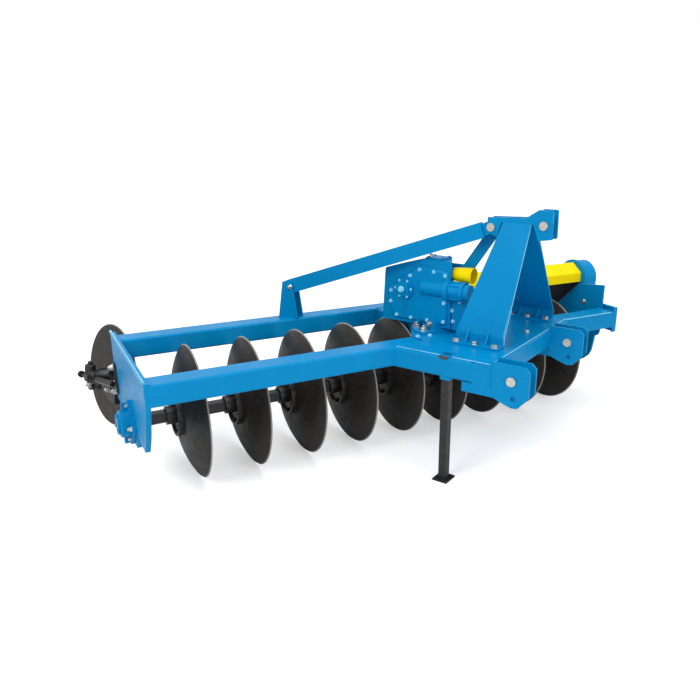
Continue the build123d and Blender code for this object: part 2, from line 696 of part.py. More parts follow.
# Gearbox: a plate housing in line with the travel, castings on its right face, an input neck
# ahead, and an output neck along the gang on its left
HOUSING_PLAN = (             # ahead, left
    (478.0, 945.0),
    (896.0, 945.0),
    (830.0, 1075.0),
    (478.0, 1075.0),
)
HOUSING_CORNER = 16.0
HOUSING_SIDE = (             # ahead, height
    (478.0, 672.0),
    (494.0, 955.0),
    (690.0, 1012.0),
    (722.0, 1022.0),
    (892.0, 1022.0),
    (896.0, 672.0),
)
SUMP_SIDE = (                # ahead, height
    (860.0, 672.0),
    (930.0, 664.0),
    (958.0, 700.0),
    (976.0, 790.0),
    (970.0, 846.0),
    (860.0, 862.0),
)
SUMP_INSET = 14.0            # from the housing's sides
GABLE_SIDE = (               # ahead, height: raised casting on the right face
    (562.0, 690.0),
    (522.0, 780.0),
    (522.0, 846.0),
    (720.0, 990.0),
    (884.0, 966.0),
    (880.0, 690.0),
)
GABLE_DEPTH = 14.0
GABLE_CHAMFER = 8.0
TOP_COVER = (104.0, 92.0, 10.0)      # along the travel, across it, thick
TOP_COVER_MIDDLE = (790.0, 1000.0)   # ahead, left
BEARING_BOSS = (625.0, 858.0)        # ahead, height of the round cover on the right face
BOSS_LAYERS = ((112.0, 12.0), (78.0, 24.0), (40.0, 32.0))   # diameter, height over the gable
BOSS_RIBS = 6
BOSS_RIB = (6.0, 104.0)      # thickness, across the boss
BOSS_RIB_HEIGHT = 20.0
NOSE_AXIS = (950.0, 873.0)   # left, height
NOSE_LAYERS = (              # ahead: rear and front end, diameter
    (730.0, 1004.0, 84.0),
    (868.0, 892.0, 112.0),
    (892.0, 960.0, 92.0),
    (960.0, 976.0, 104.0),
)
NOSE_RIBS = 8
NOSE_RIB = (7.0, 104.0)      # thickness, across the nose
INPUT_NECK_END = 884.0       # ahead
INPUT_NECK_DIAMETER = 67.0
OUTPUT_FLANGE_ALONG = (1110.0, 1195.0)
OUTPUT_FLANGE_DIAMETER = 200.0
OUTPUT_NECK_DIAMETER = 130.0
OUTPUT_NECK_END = 1330.0     # along
OUTPUT_COLLAR = 16.0
OUTPUT_RIBS = 8
OUTPUT_RIB = (8.0, 184.0)    # thickness, across the neck
BASE = 14.0
BASE_FRONT = -345.0          # across
PEDESTAL_INSET = 14.0
PEDESTAL_HEIGHT = 60.0
LUG_HEIGHT = (925.0, 995.0)
LUG_REACH = 965.0            # ahead
LUG_ROOT = 635.0             # ahead
SHAFT_ENTRY = 90.0
input_place = (HITCH_LEFT, INPUT_HEIGHT)
saddle_middle = sum(SADDLE_ALONG) / 2
saddle_length = SADDLE_ALONG[1] - SADDLE_ALONG[0]
base_depth = SADDLE_REAR - BASE_FRONT
pedestal_middle = (saddle_middle, (SADDLE_REAR + BASE_FRONT) / 2)
housing_right = HOUSING_PLAN[1][1]
housing_width = HOUSING_PLAN[2][1] - housing_right
housing_top = HOUSING_SIDE[3][1]
with BuildPart() as gearbox:
    with BuildSketch(side_section(housing_right)):
        with BuildLine():
            Polyline(*HOUSING_SIDE, close=True)
        make_face()
    extrude(amount=-housing_width)
    fillet(edges().filter_by(Axis.Y).group_by(Axis.Z)[1:], HOUSING_CORNER)
    with BuildSketch(travel_level(HOUSING_SIDE[0][1])):
        with BuildLine():
            Polyline(*HOUSING_PLAN, close=True)
        make_face()
    extrude(amount=housing_top - HOUSING_SIDE[0][1], mode=Mode.INTERSECT)
    with BuildSketch(side_section(housing_right + SUMP_INSET)):
        with BuildLine():
            Polyline(*SUMP_SIDE, close=True)
        make_face()
    extrude(amount=2 * SUMP_INSET - housing_width)
    with BuildSketch(side_section(housing_right)):
        with BuildLine():
            Polyline(*GABLE_SIDE, close=True)
        make_face()
    gable = extrude(amount=GABLE_DEPTH)
    chamfer(gable.faces().sort_by(Axis.Y)[0].edges(), GABLE_CHAMFER)
    with BuildSketch(travel_level(housing_top)):
        with Locations(TOP_COVER_MIDDLE):
            Rectangle(*TOP_COVER[:2])
    extrude(amount=TOP_COVER[2])

    # Round bearing cover on the right face, with ribs across it
    for diameter, height in BOSS_LAYERS:
        with BuildSketch(side_section(housing_right - GABLE_DEPTH)):
            with Locations(BEARING_BOSS):
                Circle(diameter / 2)
        extrude(amount=height)
    with BuildSketch(side_section(housing_right - GABLE_DEPTH)):
        for turn in range(BOSS_RIBS // 2):
            with Locations(BEARING_BOSS):
                Rectangle(*BOSS_RIB, rotation=turn * 360 / BOSS_RIBS)
    extrude(amount=BOSS_RIB_HEIGHT)

    # Nose in line with the travel, half sunk in the right face, with a flange and a ribbed bell
    for rear, front, diameter in NOSE_LAYERS:
        with BuildSketch(cross_section(rear)):
            with Locations(NOSE_AXIS):
                Circle(diameter / 2)
        extrude(amount=front - rear)
    with BuildSketch(cross_section(NOSE_LAYERS[2][0])):
        for turn in range(NOSE_RIBS // 2):
            with Locations(NOSE_AXIS):
                Rectangle(*NOSE_RIB, rotation=turn * 360 / NOSE_RIBS)
    extrude(amount=NOSE_LAYERS[2][1] - NOSE_LAYERS[2][0])

    # Input neck
    with BuildSketch(cross_section(HOUSING_PLAN[2][0])):
        with Locations(input_place):
            Circle(INPUT_NECK_DIAMETER / 2)
    extrude(amount=INPUT_NECK_END - HOUSING_PLAN[2][0])

    # Output flange, ribbed neck and collar
    with BuildSketch(gang_section(OUTPUT_FLANGE_ALONG[0])):
        with Locations(case_top):
            Circle(OUTPUT_FLANGE_DIAMETER / 2)
    extrude(amount=OUTPUT_FLANGE_ALONG[1] - OUTPUT_FLANGE_ALONG[0])
    with BuildSketch(gang_section(OUTPUT_FLANGE_ALONG[0])):
        with Locations(case_top):
            Circle(OUTPUT_NECK_DIAMETER / 2)
    extrude(amount=OUTPUT_NECK_END - OUTPUT_FLANGE_ALONG[0])
    with BuildSketch(gang_section(OUTPUT_NECK_END - OUTPUT_COLLAR)):
        with Locations(case_top):
            Circle(OUTPUT_RIB[1] / 2)
    extrude(amount=OUTPUT_COLLAR)
    with BuildSketch(gang_section(OUTPUT_FLANGE_ALONG[1])):
        for turn in range(OUTPUT_RIBS // 2):
            with Locations(case_top):
                Rectangle(*OUTPUT_RIB, rotation=turn * 360 / OUTPUT_RIBS)
    extrude(amount=OUTPUT_NECK_END - OUTPUT_FLANGE_ALONG[1] - OUTPUT_COLLAR)

    # Base on the deck, pedestal, and the lug that the stay bolts to
    with BuildSketch(gang_level(mast_base)):
        with Locations(pedestal_middle):
            Rectangle(saddle_length, base_depth)
    extrude(amount=BASE)
    with BuildSketch(gang_level(mast_base)):
        with Locations(pedestal_middle):
            Rectangle(saddle_length - 2 * PEDESTAL_INSET, base_depth - 2 * PEDESTAL_INSET)
    extrude(amount=PEDESTAL_HEIGHT)
    with BuildSketch(side_section(stay_left + STAY_PLATE + SEAT_GAP)):
        with BuildLine():
            Polyline(
                (LUG_ROOT, LUG_HEIGHT[0]),
                (LUG_REACH, LUG_HEIGHT[0]),
                (LUG_REACH, LUG_HEIGHT[1]),
                (LUG_ROOT, LUG_HEIGHT[1]),
                close=True,
            )
        make_face()
    extrude(amount=-STAY_PLATE)
    with BuildSketch(cross_section(INPUT_NECK_END)):
        with Locations(input_place):
            Circle(INPUT_SEAL_DIAMETER / 2 + JOURNAL_FIT)
    extrude(amount=-SHAFT_ENTRY, mode=Mode.SUBTRACT)
    with BuildSketch(gang_section(OUTPUT_NECK_END)):
        with Locations(case_top):
            Circle(SIDE_SHAFT_DIAMETER / 2 + JOURNAL_FIT)
    extrude(amount=-SHAFT_ENTRY, mode=Mode.SUBTRACT)
finish(gearbox, "gearbox")

# Input stub of the gearbox, in a bell that covers the joint of the tractor's drive shaft
INPUT_STUB = 65.0
INPUT_SHOULDER = 6.0         # how far its thicker part stands out of the neck
SHAFT_END_FLOAT = 5.0
with BuildPart() as input_shaft:
    with BuildSketch(cross_section(INPUT_NECK_END - SHAFT_ENTRY + SHAFT_END_FLOAT)):
        with Locations(input_place):
            Circle(INPUT_SEAL_DIAMETER / 2)
    extrude(amount=SHAFT_ENTRY - SHAFT_END_FLOAT + INPUT_SHOULDER)
    with BuildSketch(cross_section(INPUT_NECK_END + INPUT_SHOULDER)):
        with Locations(input_place):
            Circle(INPUT_SHAFT_DIAMETER / 2)
    extrude(amount=INPUT_STUB)
finish(input_shaft, "input_shaft")

GUARD_MOUTH = 991.0          # ahead: open end of the input guard
GUARD_RADII = (33.5, 42.0)
GUARD_WALL = 3.0
with BuildPart() as input_guard:
    for wall, mode in ((0, Mode.ADD), (GUARD_WALL, Mode.SUBTRACT)):
        with BuildSketch(cross_section(INPUT_NECK_END)):
            with Locations(input_place):
                Circle(GUARD_RADII[0] - wall)
        with BuildSketch(cross_section(GUARD_MOUTH)):
            with Locations(input_place):
                Circle(GUARD_RADII[1] - wall)
        loft(mode=mode)
finish(input_guard, "input_guard")

# Side shaft from the gearbox to the drive case, under a folded hood
CASE_ENTRY = 60.0
with BuildPart() as side_shaft:
    with BuildSketch(gang_section(OUTPUT_NECK_END - SHAFT_ENTRY + SHAFT_END_FLOAT)):
        with Locations(case_top):
            Circle(SIDE_SHAFT_DIAMETER / 2)
    extrude(amount=LEFT_END + CASE_ENTRY - OUTPUT_NECK_END + SHAFT_ENTRY - SHAFT_END_FLOAT)
finish(side_shaft, "side_shaft")

HOOD_HALF = 72.0
HOOD_RIDGE = 96.0
HOOD_EAVE = 42.0
HOOD_SKIRT = -12.0
HOOD_WALL = 3.0
hood_start = OUTPUT_NECK_END + SEAT_GAP
with BuildPart() as drive_hood:
    with BuildSketch(gang_section(hood_start)):
        with BuildLine(Plane(case_top)):
            hood_line = Polyline(
                (-HOOD_HALF, HOOD_SKIRT),
                (-HOOD_HALF, HOOD_EAVE),
                (0, HOOD_RIDGE),
                (HOOD_HALF, HOOD_EAVE),
                (HOOD_HALF, HOOD_SKIRT),
            )
            offset(hood_line, amount=-HOOD_WALL, side=Side.LEFT)
        make_face()
    extrude(amount=LEFT_END - SEAT_GAP - hood_start)
finish(drive_hood, "drive_hood")

# Gang axle, a square bar with a round journal at each end
AXLE_SHOULDER = 10.0         # between the end of its square part and the end plate
axle_square_start = RIGHT_END + RIGHT_PLATE + AXLE_SHOULDER
axle_square_end = LEFT_END - LEFT_PLATE - AXLE_SHOULDER
axle_start = RIGHT_END - BEARING_HOUSING + BEARING_CAP + SHAFT_END_FLOAT
with BuildPart() as gang_axle:
    with BuildSketch(gang_section(axle_square_start)):
        with Locations((0, AXLE_HEIGHT)):
            Rectangle(AXLE_SQUARE, AXLE_SQUARE)
    extrude(amount=axle_square_end - axle_square_start)
    with BuildSketch(gang_section(axle_start)):
        with Locations((0, AXLE_HEIGHT)):
            Circle(JOURNAL_DIAMETER / 2)
    extrude(amount=LEFT_END + CASE_ENTRY - axle_start)
finish(gang_axle, "gang_axle")

# Discs, dished about the gang axis, hollow side towards the left front
disc_radius = DISC_DIAMETER / 2
dish_run = disc_radius - DISC_FLAT
dish_radius = (dish_run**2 + DISC_DISH**2) / (2 * DISC_DISH)
square_hole = AXLE_SQUARE + 2 * AXLE_FIT


def profile_plane(along):
    """Upright plane through the axis: x is along the axle, y is height."""
    return Plane(origin=gang_point(along, 0, 0), x_dir=GANG, z_dir=(GANG_SIN, -GANG_COS, 0))


for number in range(DISC_COUNT):
    along = number * DISC_SPACING
    with BuildPart() as disc:
        with BuildSketch(profile_plane(along)):
            with BuildLine():
                inner_flat = (-DISC_DISH, AXLE_HEIGHT + DISC_FLAT)
                outer_flat = (-DISC_DISH - DISC_THICKNESS, AXLE_HEIGHT + DISC_FLAT)
                rim = (0, AXLE_HEIGHT + disc_radius)
                bevel = (-DISC_BEVEL_ALONG, AXLE_HEIGHT + disc_radius - DISC_BEVEL_DOWN)
                TangentArc(inner_flat, rim, tangent=(0, 1))
                Line(rim, bevel)
                TangentArc(outer_flat, bevel, tangent=(0, 1))
                Polyline(
                    outer_flat,
                    (-DISC_DISH - DISC_THICKNESS, AXLE_HEIGHT),
                    (-DISC_DISH, AXLE_HEIGHT),
                    inner_flat,
                )
            make_face()
        revolve(axis=Axis(gang_point(along, 0, AXLE_HEIGHT), GANG))
        with BuildSketch(gang_section(along - DISC_DISH - DISC_THICKNESS)):
            with Locations((0, AXLE_HEIGHT)):
                Rectangle(square_hole, square_hole)
        extrude(amount=DISC_THICKNESS, mode=Mode.SUBTRACT)
    finish(disc, f"disc_{number + 1}")

# Hubs: a flange with a raised ring and a barrel behind each disc, a clamp washer before it
with BuildPart() as disc_hubs:
    for number in range(DISC_COUNT):
        back = number * DISC_SPACING - DISC_DISH - DISC_THICKNESS
        ring_top = AXLE_HEIGHT + HUB_DIAMETER / 2
        with BuildSketch(profile_plane(back)):
            with BuildLine():
                Polyline(
                    (0, AXLE_HEIGHT),
                    (0, ring_top),
                    (-HUB_FLANGE - HUB_RIM, ring_top),
                    (-HUB_FLANGE - HUB_RIM, ring_top - HUB_RIM),
                    (-HUB_FLANGE, ring_top - HUB_RIM),
                    (-HUB_FLANGE, AXLE_HEIGHT + HUB_BARREL_DIAMETER / 2),
                    (-HUB_BARREL, AXLE_HEIGHT + HUB_BARREL_DIAMETER / 2),
                    (-HUB_BARREL, AXLE_HEIGHT),
                    close=True,
                )
            make_face()
        revolve(axis=Axis(gang_point(back, 0, AXLE_HEIGHT), GANG))
        with BuildSketch(gang_section(back + DISC_THICKNESS)):
            with Locations((0, AXLE_HEIGHT)):
                Circle(CLAMP_DIAMETER / 2)
        extrude(amount=CLAMP_THICKNESS)
    with BuildSketch(gang_section(-2 * HUB_BARREL - DISC_DISH)):
        with Locations((0, AXLE_HEIGHT)):
            Rectangle(square_hole, square_hole)
    extrude(amount=DISC_COUNT * DISC_SPACING, mode=Mode.SUBTRACT)
finish(disc_hubs, "disc_hubs")

# Furrow disc behind the right end plate
TAIL_HUB_DIAMETER = 110.0
TAIL_HUB = 22.0
TAIL_AXLE_DIAMETER = 30.0
tail_plane = Plane(
    origin=travel_point(TAIL_AHEAD, TAIL_LEFT, TAIL_HEIGHT), x_dir=TAIL_ALONG, z_dir=TAIL_LEFTWARD
)
with BuildPart() as tail_disc:
    with BuildSketch(tail_plane):
        Circle(TAIL_DIAMETER / 2)
    extrude(amount=TAIL_THICKNESS / 2, both=True)
    with BuildSketch(tail_plane):
        Circle(TAIL_HUB_DIAMETER / 2)
    extrude(amount=-TAIL_HUB)
    with BuildSketch(tail_plane.offset(TAIL_THICKNESS / 2)):
        Circle(TAIL_AXLE_DIAMETER / 2 + JOURNAL_FIT)
    extrude(amount=-TAIL_HUB - TAIL_THICKNESS, mode=Mode.SUBTRACT)
finish(tail_disc, "tail_disc")

# Its arm: a plate bolted inside the end plate's rear edge, a cranked bar and the disc's stub axle
TAIL_ARM = 32.0              # width of the bar
TAIL_ARM_GAP = 34.0          # from the disc's plane to the bar's left face
TAIL_BOSS = (-107.0, 75.0)   # ahead and height from the disc's middle
TAIL_BOSS_DIAMETER = 62.0
TAIL_BOSS_LENGTH = 56.0
TAIL_FOOT_PLATE = 20.0
TAIL_FOOT_ACROSS = (392.0, 500.0)
TAIL_FOOT_HEIGHT = (352.0, 478.0)
TAIL_ARM_SIDE = (            # ahead and height from the disc's middle
    (173.0, 116.0),
    (173.0, 6.0),
    (45.0, -34.0),
    (-36.0, -34.0),
    (-130.0, 52.0),
    (-130.0, 98.0),
    (-84.0, 98.0),
    (-6.0, 42.0),
    (98.0, 110.0),
)
with BuildPart() as tail_arm:
    with BuildSketch(tail_plane.offset(-TAIL_ARM_GAP)):
        with BuildLine():
            Polyline(*TAIL_ARM_SIDE, close=True)
        make_face()
    extrude(amount=-TAIL_ARM)
    with BuildSketch(tail_plane.offset(-TAIL_ARM_GAP - TAIL_ARM / 2)):
        with Locations(TAIL_BOSS):
            Circle(TAIL_BOSS_DIAMETER / 2)
    extrude(amount=TAIL_BOSS_LENGTH / 2, both=True)
    with BuildSketch(tail_plane.offset(-TAIL_ARM_GAP)):
        Circle(TAIL_AXLE_DIAMETER / 2)
    extrude(amount=TAIL_ARM_GAP)
    with BuildSketch(gang_level(TAIL_FOOT_HEIGHT[0])):
        with Locations((beam_start + TAIL_FOOT_PLATE / 2, sum(TAIL_FOOT_ACROSS) / 2)):
            Rectangle(TAIL_FOOT_PLATE, TAIL_FOOT_ACROSS[1] - TAIL_FOOT_ACROSS[0])
    extrude(amount=TAIL_FOOT_HEIGHT[1] - TAIL_FOOT_HEIGHT[0])
finish(tail_arm, "tail_arm")

# Parking stand: a square leg on a foot, which slides in a sleeve through the side beam
SLEEVE_BELOW = 14.0
with BuildPart() as stand_sleeve:
    with BuildSketch(travel_level(beam_underside - SLEEVE_BELOW)):
        with Locations((STAND_AHEAD, STAND_LEFT)):
            Rectangle(stand_outer, stand_outer)
            Rectangle(stand_hole, stand_hole, mode=Mode.SUBTRACT)
    extrude(amount=SLEEVE_BELOW + BEAM_HEIGHT + DECK)
finish(stand_sleeve, "stand_sleeve")

with BuildPart() as stand_leg:
    with BuildSketch(travel_level(STAND_FOOT_THICKNESS)):
        with Locations((STAND_AHEAD, STAND_LEFT)):
            Rectangle(STAND_LEG, STAND_LEG)
    extrude(amount=STAND_TOP - STAND_FOOT_THICKNESS)
    with BuildSketch(travel_level(0)):
        with Locations((STAND_AHEAD, STAND_LEFT)):
            Rectangle(*STAND_FOOT)
    extrude(amount=STAND_FOOT_THICKNESS)
finish(stand_leg, "stand_leg")
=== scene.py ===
"""Looks for a tractor-mounted disc plough whose gang of dished discs is driven.

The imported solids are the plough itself.  This script gives them their paint and steel, and adds
the bolts, welds, pin locks and small castings that the solids leave out.

Sizes and places are in millimetres, as the plough's maker would write them.  A gang place is
(along, across, height): along the gang axis from the rearmost disc's rim, across it towards the
rear, and above the ground.  A travel place is (ahead, left, height) from that same rim centre.
"""

import json
import math

import bmesh
import bpy
import numpy as np
from mathutils import Matrix, Vector
from mathutils.geometry import tessellate_polygon


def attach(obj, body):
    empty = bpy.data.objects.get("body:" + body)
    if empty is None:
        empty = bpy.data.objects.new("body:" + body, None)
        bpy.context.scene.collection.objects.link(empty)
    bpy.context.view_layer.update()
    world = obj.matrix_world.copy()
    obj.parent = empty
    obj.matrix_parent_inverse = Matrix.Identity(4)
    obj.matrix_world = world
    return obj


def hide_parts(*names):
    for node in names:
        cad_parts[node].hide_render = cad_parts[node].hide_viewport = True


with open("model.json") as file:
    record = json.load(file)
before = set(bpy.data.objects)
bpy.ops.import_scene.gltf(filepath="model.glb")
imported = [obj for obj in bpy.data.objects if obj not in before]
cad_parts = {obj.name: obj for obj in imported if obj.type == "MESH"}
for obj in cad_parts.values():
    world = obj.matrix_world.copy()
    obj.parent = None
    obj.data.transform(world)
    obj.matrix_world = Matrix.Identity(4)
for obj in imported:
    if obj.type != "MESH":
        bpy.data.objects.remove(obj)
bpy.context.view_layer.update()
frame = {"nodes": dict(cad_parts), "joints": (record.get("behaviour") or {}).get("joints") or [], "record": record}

MM = 0.001
joint_of = {joint["name"]: joint for joint in frame["joints"]}
RIM_CENTRE = np.array(joint_of["gang_turn"]["pos_m"])
GANG = np.array(joint_of["gang_turn"]["axis"])
REARWARD = np.array([-GANG[1], GANG[0], 0.0])
UP = np.array([0.0, 0.0, 1.0])
AHEAD = np.array([1.0, 0.0, 0.0])
LEFT = np.array([0.0, 1.0, 0.0])
RIGHT = -LEFT
TAIL_MIDDLE = np.array(joint_of["tail_disc_turn"]["pos_m"])
TAIL_AXIS = np.array(joint_of["tail_disc_turn"]["axis"])
GROUND = np.array([RIM_CENTRE[0], RIM_CENTRE[1], 0.0])         # below the rim's centre


def travel(ahead, left, height):
    """Model point of a place in line with the travel."""
    return GROUND + MM * (ahead * AHEAD + left * LEFT + height * UP)


def gang(along, across, height):
    """Model point of a place along and across the gang."""
    return GROUND + MM * (along * GANG + across * REARWARD + height * UP)


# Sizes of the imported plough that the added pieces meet

DISC_COUNT = 9
DISC_SPACING = 284.0         # along, from one disc to the next
DISC_RADIUS = 330.0
DISC_DISH = 66.0             # its flat middle lies this far behind its rim
DISC_THICKNESS = 6.0
HUB_FLANGE = 12.0
AXLE_HEIGHT = DISC_RADIUS
TAIL_RADIUS = 280.0
FRONT_BEAM = (-421.0, -301.0)          # across: its front and rear face
REAR_BEAM = (318.0, 438.0)
BEAM_BOTTOM, BEAM_TOP = 540.0, 640.0
RIGHT_FACE, RIGHT_INSIDE = -281.0, -259.0      # along: outer and inner face of the right end plate
LEFT_FACE, LEFT_INSIDE = 2420.0, 2408.0        # along: the same two of the left end plate
CROSS_TUBES = (1240.0, 1524.0)         # along: middle of each cross tube
DECK, DECK_TOP = 8.0, 648.0
MAST_FEET = (850.0, 1528.0)            # left: right face of each mast leg's foot
FLANGE_TOP = 660.0                     # top of the flanges that the mast stands on
HITCH_LEFTS = (605.0, 679.0, 1351.0, 1425.0)   # left: middle of each hitch plate
STAND = (1058.0, 629.0)                # ahead, left: middle of the stand's leg
BRACE_FOOT = (672.0, 378.0)            # along, across: middle of the brace's bracket
SIDE_SHAFT = (-55.0, 785.0)            # across, height
INPUT = (1009.0, 951.0)                # left, height


# Materials


def linear(code):
    """Linear colour of an sRGB hex value, channel by channel."""
    srgb = np.array([int(code[i:i + 2], 16) for i in (1, 3, 5)]) / 255
    rgb = np.where(srgb <= 0.04045, srgb / 12.92, ((srgb + 0.055) / 1.055) ** 2.4)
    return (*rgb, 1.0)


def add_node(material, kind, settings=(), links=()):
    """Add a shader node.  A setting is (property or input, value); a link is (input, socket)."""
    node = material.node_tree.nodes.new(kind)
    for key, value in settings:
        if isinstance(key, str) and hasattr(node, key):
            setattr(node, key, value)
        else:
            node.inputs[key].default_value = value
    for key, socket in links:
        material.node_tree.links.new(node.inputs[key], socket)
    return node


def start_material(name, settings):
    """A material, its Principled shader with these settings, and the object's own coordinates."""
    material = bpy.data.materials.new(name)
    material.use_nodes = True
    shader = material.node_tree.nodes["Principled BSDF"]
    for key, value in settings:
        shader.inputs[key].default_value = value
    return material, shader, add_node(material, "ShaderNodeTexCoord").outputs["Object"]


def noise(material, place, width_mm, detail=2.0):
    """Noise whose blotches are about width_mm across."""
    return add_node(
        material, "ShaderNodeTexNoise",
        (("Scale", 1000.0 / width_mm), ("Detail", detail), ("Roughness", 0.55)),
        (("Vector", place),),
    ).outputs["Fac"]


def spread(material, value, low, high, start=0.3, end=0.7):
    """Stretch the part of a pattern from start to end, so that it runs from low to high."""
    return add_node(
        material, "ShaderNodeMapRange",
        (("From Min", start), ("From Max", end), ("To Min", low), ("To Max", high)),
        (("Value", value),),
    ).outputs["Result"]


def blend_colours(material, share, first, second):
    """Colour between two hex values or sockets, by share."""
    node = add_node(material, "ShaderNodeMix", (("data_type", "RGBA"),), ((0, share),))
    for key, colour in ((6, first), (7, second)):
        if isinstance(colour, str):
            node.inputs[key].default_value = linear(colour)
        else:
            material.node_tree.links.new(node.inputs[key], colour)
    return node.outputs[2]


def ripple(material, height, depth_mm, strength=1.0):
    """Normal of a surface whose height pattern is depth_mm deep."""
    return add_node(
        material, "ShaderNodeBump", (("Strength", strength), ("Distance", depth_mm * MM)),
        (("Height", height),),
    ).outputs["Normal"]


def connect(material, shader, **sockets):
    """Link patterns to the shader's inputs by name, with underscores for spaces."""
    for name, socket in sockets.items():
        material.node_tree.links.new(shader.inputs[name.replace("_", " ")], socket)
    return material


def powder_coat(name, deep, light, roughness):
    """Glossy polyester powder coat, sprayed and baked on steel.

    An even saturated colour with a soft gloss.  Clouds 300 mm wide shift it a little, handling
    smears 60 mm wide change the gloss, and orange peel 9 mm wide, coarser than real so that it
    shows, softens the reflections.
    """
    material, shader, place = start_material(
        name, (("IOR", 1.5), ("Specular IOR Level", 0.07), ("Coat Weight", 0.04), ("Coat Roughness", 0.2))
    )
    clouds = spread(material, noise(material, place, 300.0, 3.0), 0.0, 1.0)
    smears = noise(material, place, 60.0, 4.0)
    return connect(
        material, shader,
        Base_Color=blend_colours(material, clouds, deep, light),
        Roughness=spread(material, smears, roughness - 0.05, roughness + 0.08),
        Normal=ripple(material, noise(material, place, 9.0), 0.03, 0.3),
    )


def distance_from_axis(material, place, middle, axis):
    """Distance of the surface from an axis, which stays the same while the piece turns.

    Distance = length of the cross product of the axis and the way from its middle to the place.
    """
    arm = add_node(
        material, "ShaderNodeVectorMath", (("operation", "SUBTRACT"), (1, tuple(middle))),
        ((0, place),),
    ).outputs["Vector"]
    turned_arm = add_node(
        material, "ShaderNodeVectorMath", (("operation", "CROSS_PRODUCT"), (1, tuple(axis))),
        ((0, arm),),
    ).outputs["Vector"]
    return add_node(
        material, "ShaderNodeVectorMath", (("operation", "LENGTH"),), ((0, turned_arm),)
    ).outputs["Value"]


TURNING_PITCH = 7.0
GROUND_EDGE = (5.5, 4.0)     # inside the rim: where the ground edge starts to show, and shows fully


def pressed_disc_steel(name, middle, axis, radius_mm):
    """Boron steel disc, hot pressed, oil quenched and coated black-brown.

    The skin is dark and satin with brown scale in patches 25 mm wide.  Turning marks run round the
    axis, coarser than real ones so that they show: their height is the sine of a turn for each
    pitch of distance from the axis.  The ground edge is pale bare steel.
    """
    material, shader, place = start_material(name, (("IOR", 1.5), ("Specular IOR Level", 0.2)))
    radius = distance_from_axis(material, place, middle, axis)
    scale = spread(material, noise(material, place, 25.0, 6.0), 0.0, 1.0, 0.35, 0.75)
    broad = spread(material, noise(material, place, 160.0, 3.0), 0.0, 1.0)
    dark = blend_colours(material, broad, "#211f1e", "#2b2927")
    skin = blend_colours(material, scale, dark, "#34312e")
    edge = spread(material, radius, 0.0, 1.0, (radius_mm - GROUND_EDGE[0]) * MM,
                  (radius_mm - GROUND_EDGE[1]) * MM)
    turns = add_node(
        material, "ShaderNodeMath",
        (("operation", "MULTIPLY"), (1, 2 * math.pi / (TURNING_PITCH * MM))), ((0, radius),),
    ).outputs[0]
    grooves = add_node(
        material, "ShaderNodeMath", (("operation", "SINE"),), ((0, turns),)
    ).outputs[0]
    return connect(
        material, shader,
        Base_Color=blend_colours(material, edge, skin, "#8f8c88"),
        Roughness=spread(material, noise(material, place, 40.0, 5.0), 0.36, 0.54),
        Normal=ripple(material, grooves, 0.06, 0.3),
    )


def black_enamel(name):
    """Brushed-on black enamel over cast and rolled steel: soft satin, dusty in patches 35 mm wide."""
    material, shader, place = start_material(name, (("IOR", 1.48),))
    dust = spread(material, noise(material, place, 35.0, 5.0), 0.0, 1.0, 0.4, 0.8)
    return connect(
        material, shader,
        Base_Color=blend_colours(material, dust, "#161617", "#2b2a29"),
        Roughness=spread(material, noise(material, place, 18.0, 3.0), 0.32, 0.5),
        Normal=ripple(material, noise(material, place, 6.0, 3.0), 0.15, 0.5),
    )


SHADE_LINE_BLUR = 2.0        # half the width over which the painted shade runs into the blue


def enamel_with_painted_shade(name, line):
    """Enamelled cover of the chain case: blue above a line at a height, and near-black painted shade below it."""
    material, shader, place = start_material(name, (("IOR", 1.48), ("Specular IOR Level", 0.1)))
    height = add_node(material, "ShaderNodeSeparateXYZ", (), (("Vector", place),)).outputs["Z"]
    upper = spread(material, height, 0.0, 1.0, (line - SHADE_LINE_BLUR) * MM,
                   (line + SHADE_LINE_BLUR) * MM)
    # Near-black painted shade under the line, blotched 35 mm wide
    black = blend_colours(material, noise(material, place, 35.0, 5.0), "#1c1a1d", "#2c2830")
    return connect(
        material, shader,
        Base_Color=blend_colours(material, upper, black, "#0084bd"),
        Roughness=spread(material, noise(material, place, 18.0, 3.0), 0.34, 0.5),
    )


def zinc_plate(name):
    """Bright zinc plating on bolts and pins: pale grey metal with a faint warm spangle 9 mm wide."""
    material, shader, place = start_material(name, (("Metallic", 1.0),))
    spangle = spread(material, noise(material, place, 9.0, 2.0), 0.0, 1.0)
    return connect(
        material, shader,
        Base_Color=blend_colours(material, spangle, "#b9b9b4", "#dcd8cd"),
        Roughness=spread(material, noise(material, place, 14.0, 3.0), 0.24, 0.42),
    )


def turned_steel(name):
    """Bare turned steel shaft under a film of oil, which pools in patches 30 mm wide."""
    material, shader, place = start_material(name, (("Metallic", 1.0),))
    film = spread(material, noise(material, place, 30.0, 3.0), 0.0, 1.0)
    return connect(
        material, shader,
        Base_Color=blend_colours(material, film, "#7f7d79", "#9c9a95"),
        Roughness=spread(material, noise(material, place, 8.0, 3.0), 0.25, 0.45),
    )


BLUE = powder_coat("blue_powder_coat", "#0080b9", "#0088c2", 0.34)
# Pale blue painted highlight, for the glints on sheared plate edges and on painted bolts
PAINTED_HIGHLIGHT_BLUE = powder_coat("blue_painted_highlight", "#6cc0e8", "#9ddcf5", 0.3)
YELLOW = powder_coat("yellow_powder_coat", "#f7d800", "#ffe600", 0.34)
DISC_STEEL = pressed_disc_steel("pressed_disc_steel", RIM_CENTRE, GANG, DISC_RADIUS)
TAIL_STEEL = pressed_disc_steel("pressed_tail_steel", TAIL_MIDDLE, TAIL_AXIS, TAIL_RADIUS)
BLACK = black_enamel("black_enamel")
ZINC = zinc_plate("zinc_plate")
SHAFT_STEEL = turned_steel("turned_shaft_steel")

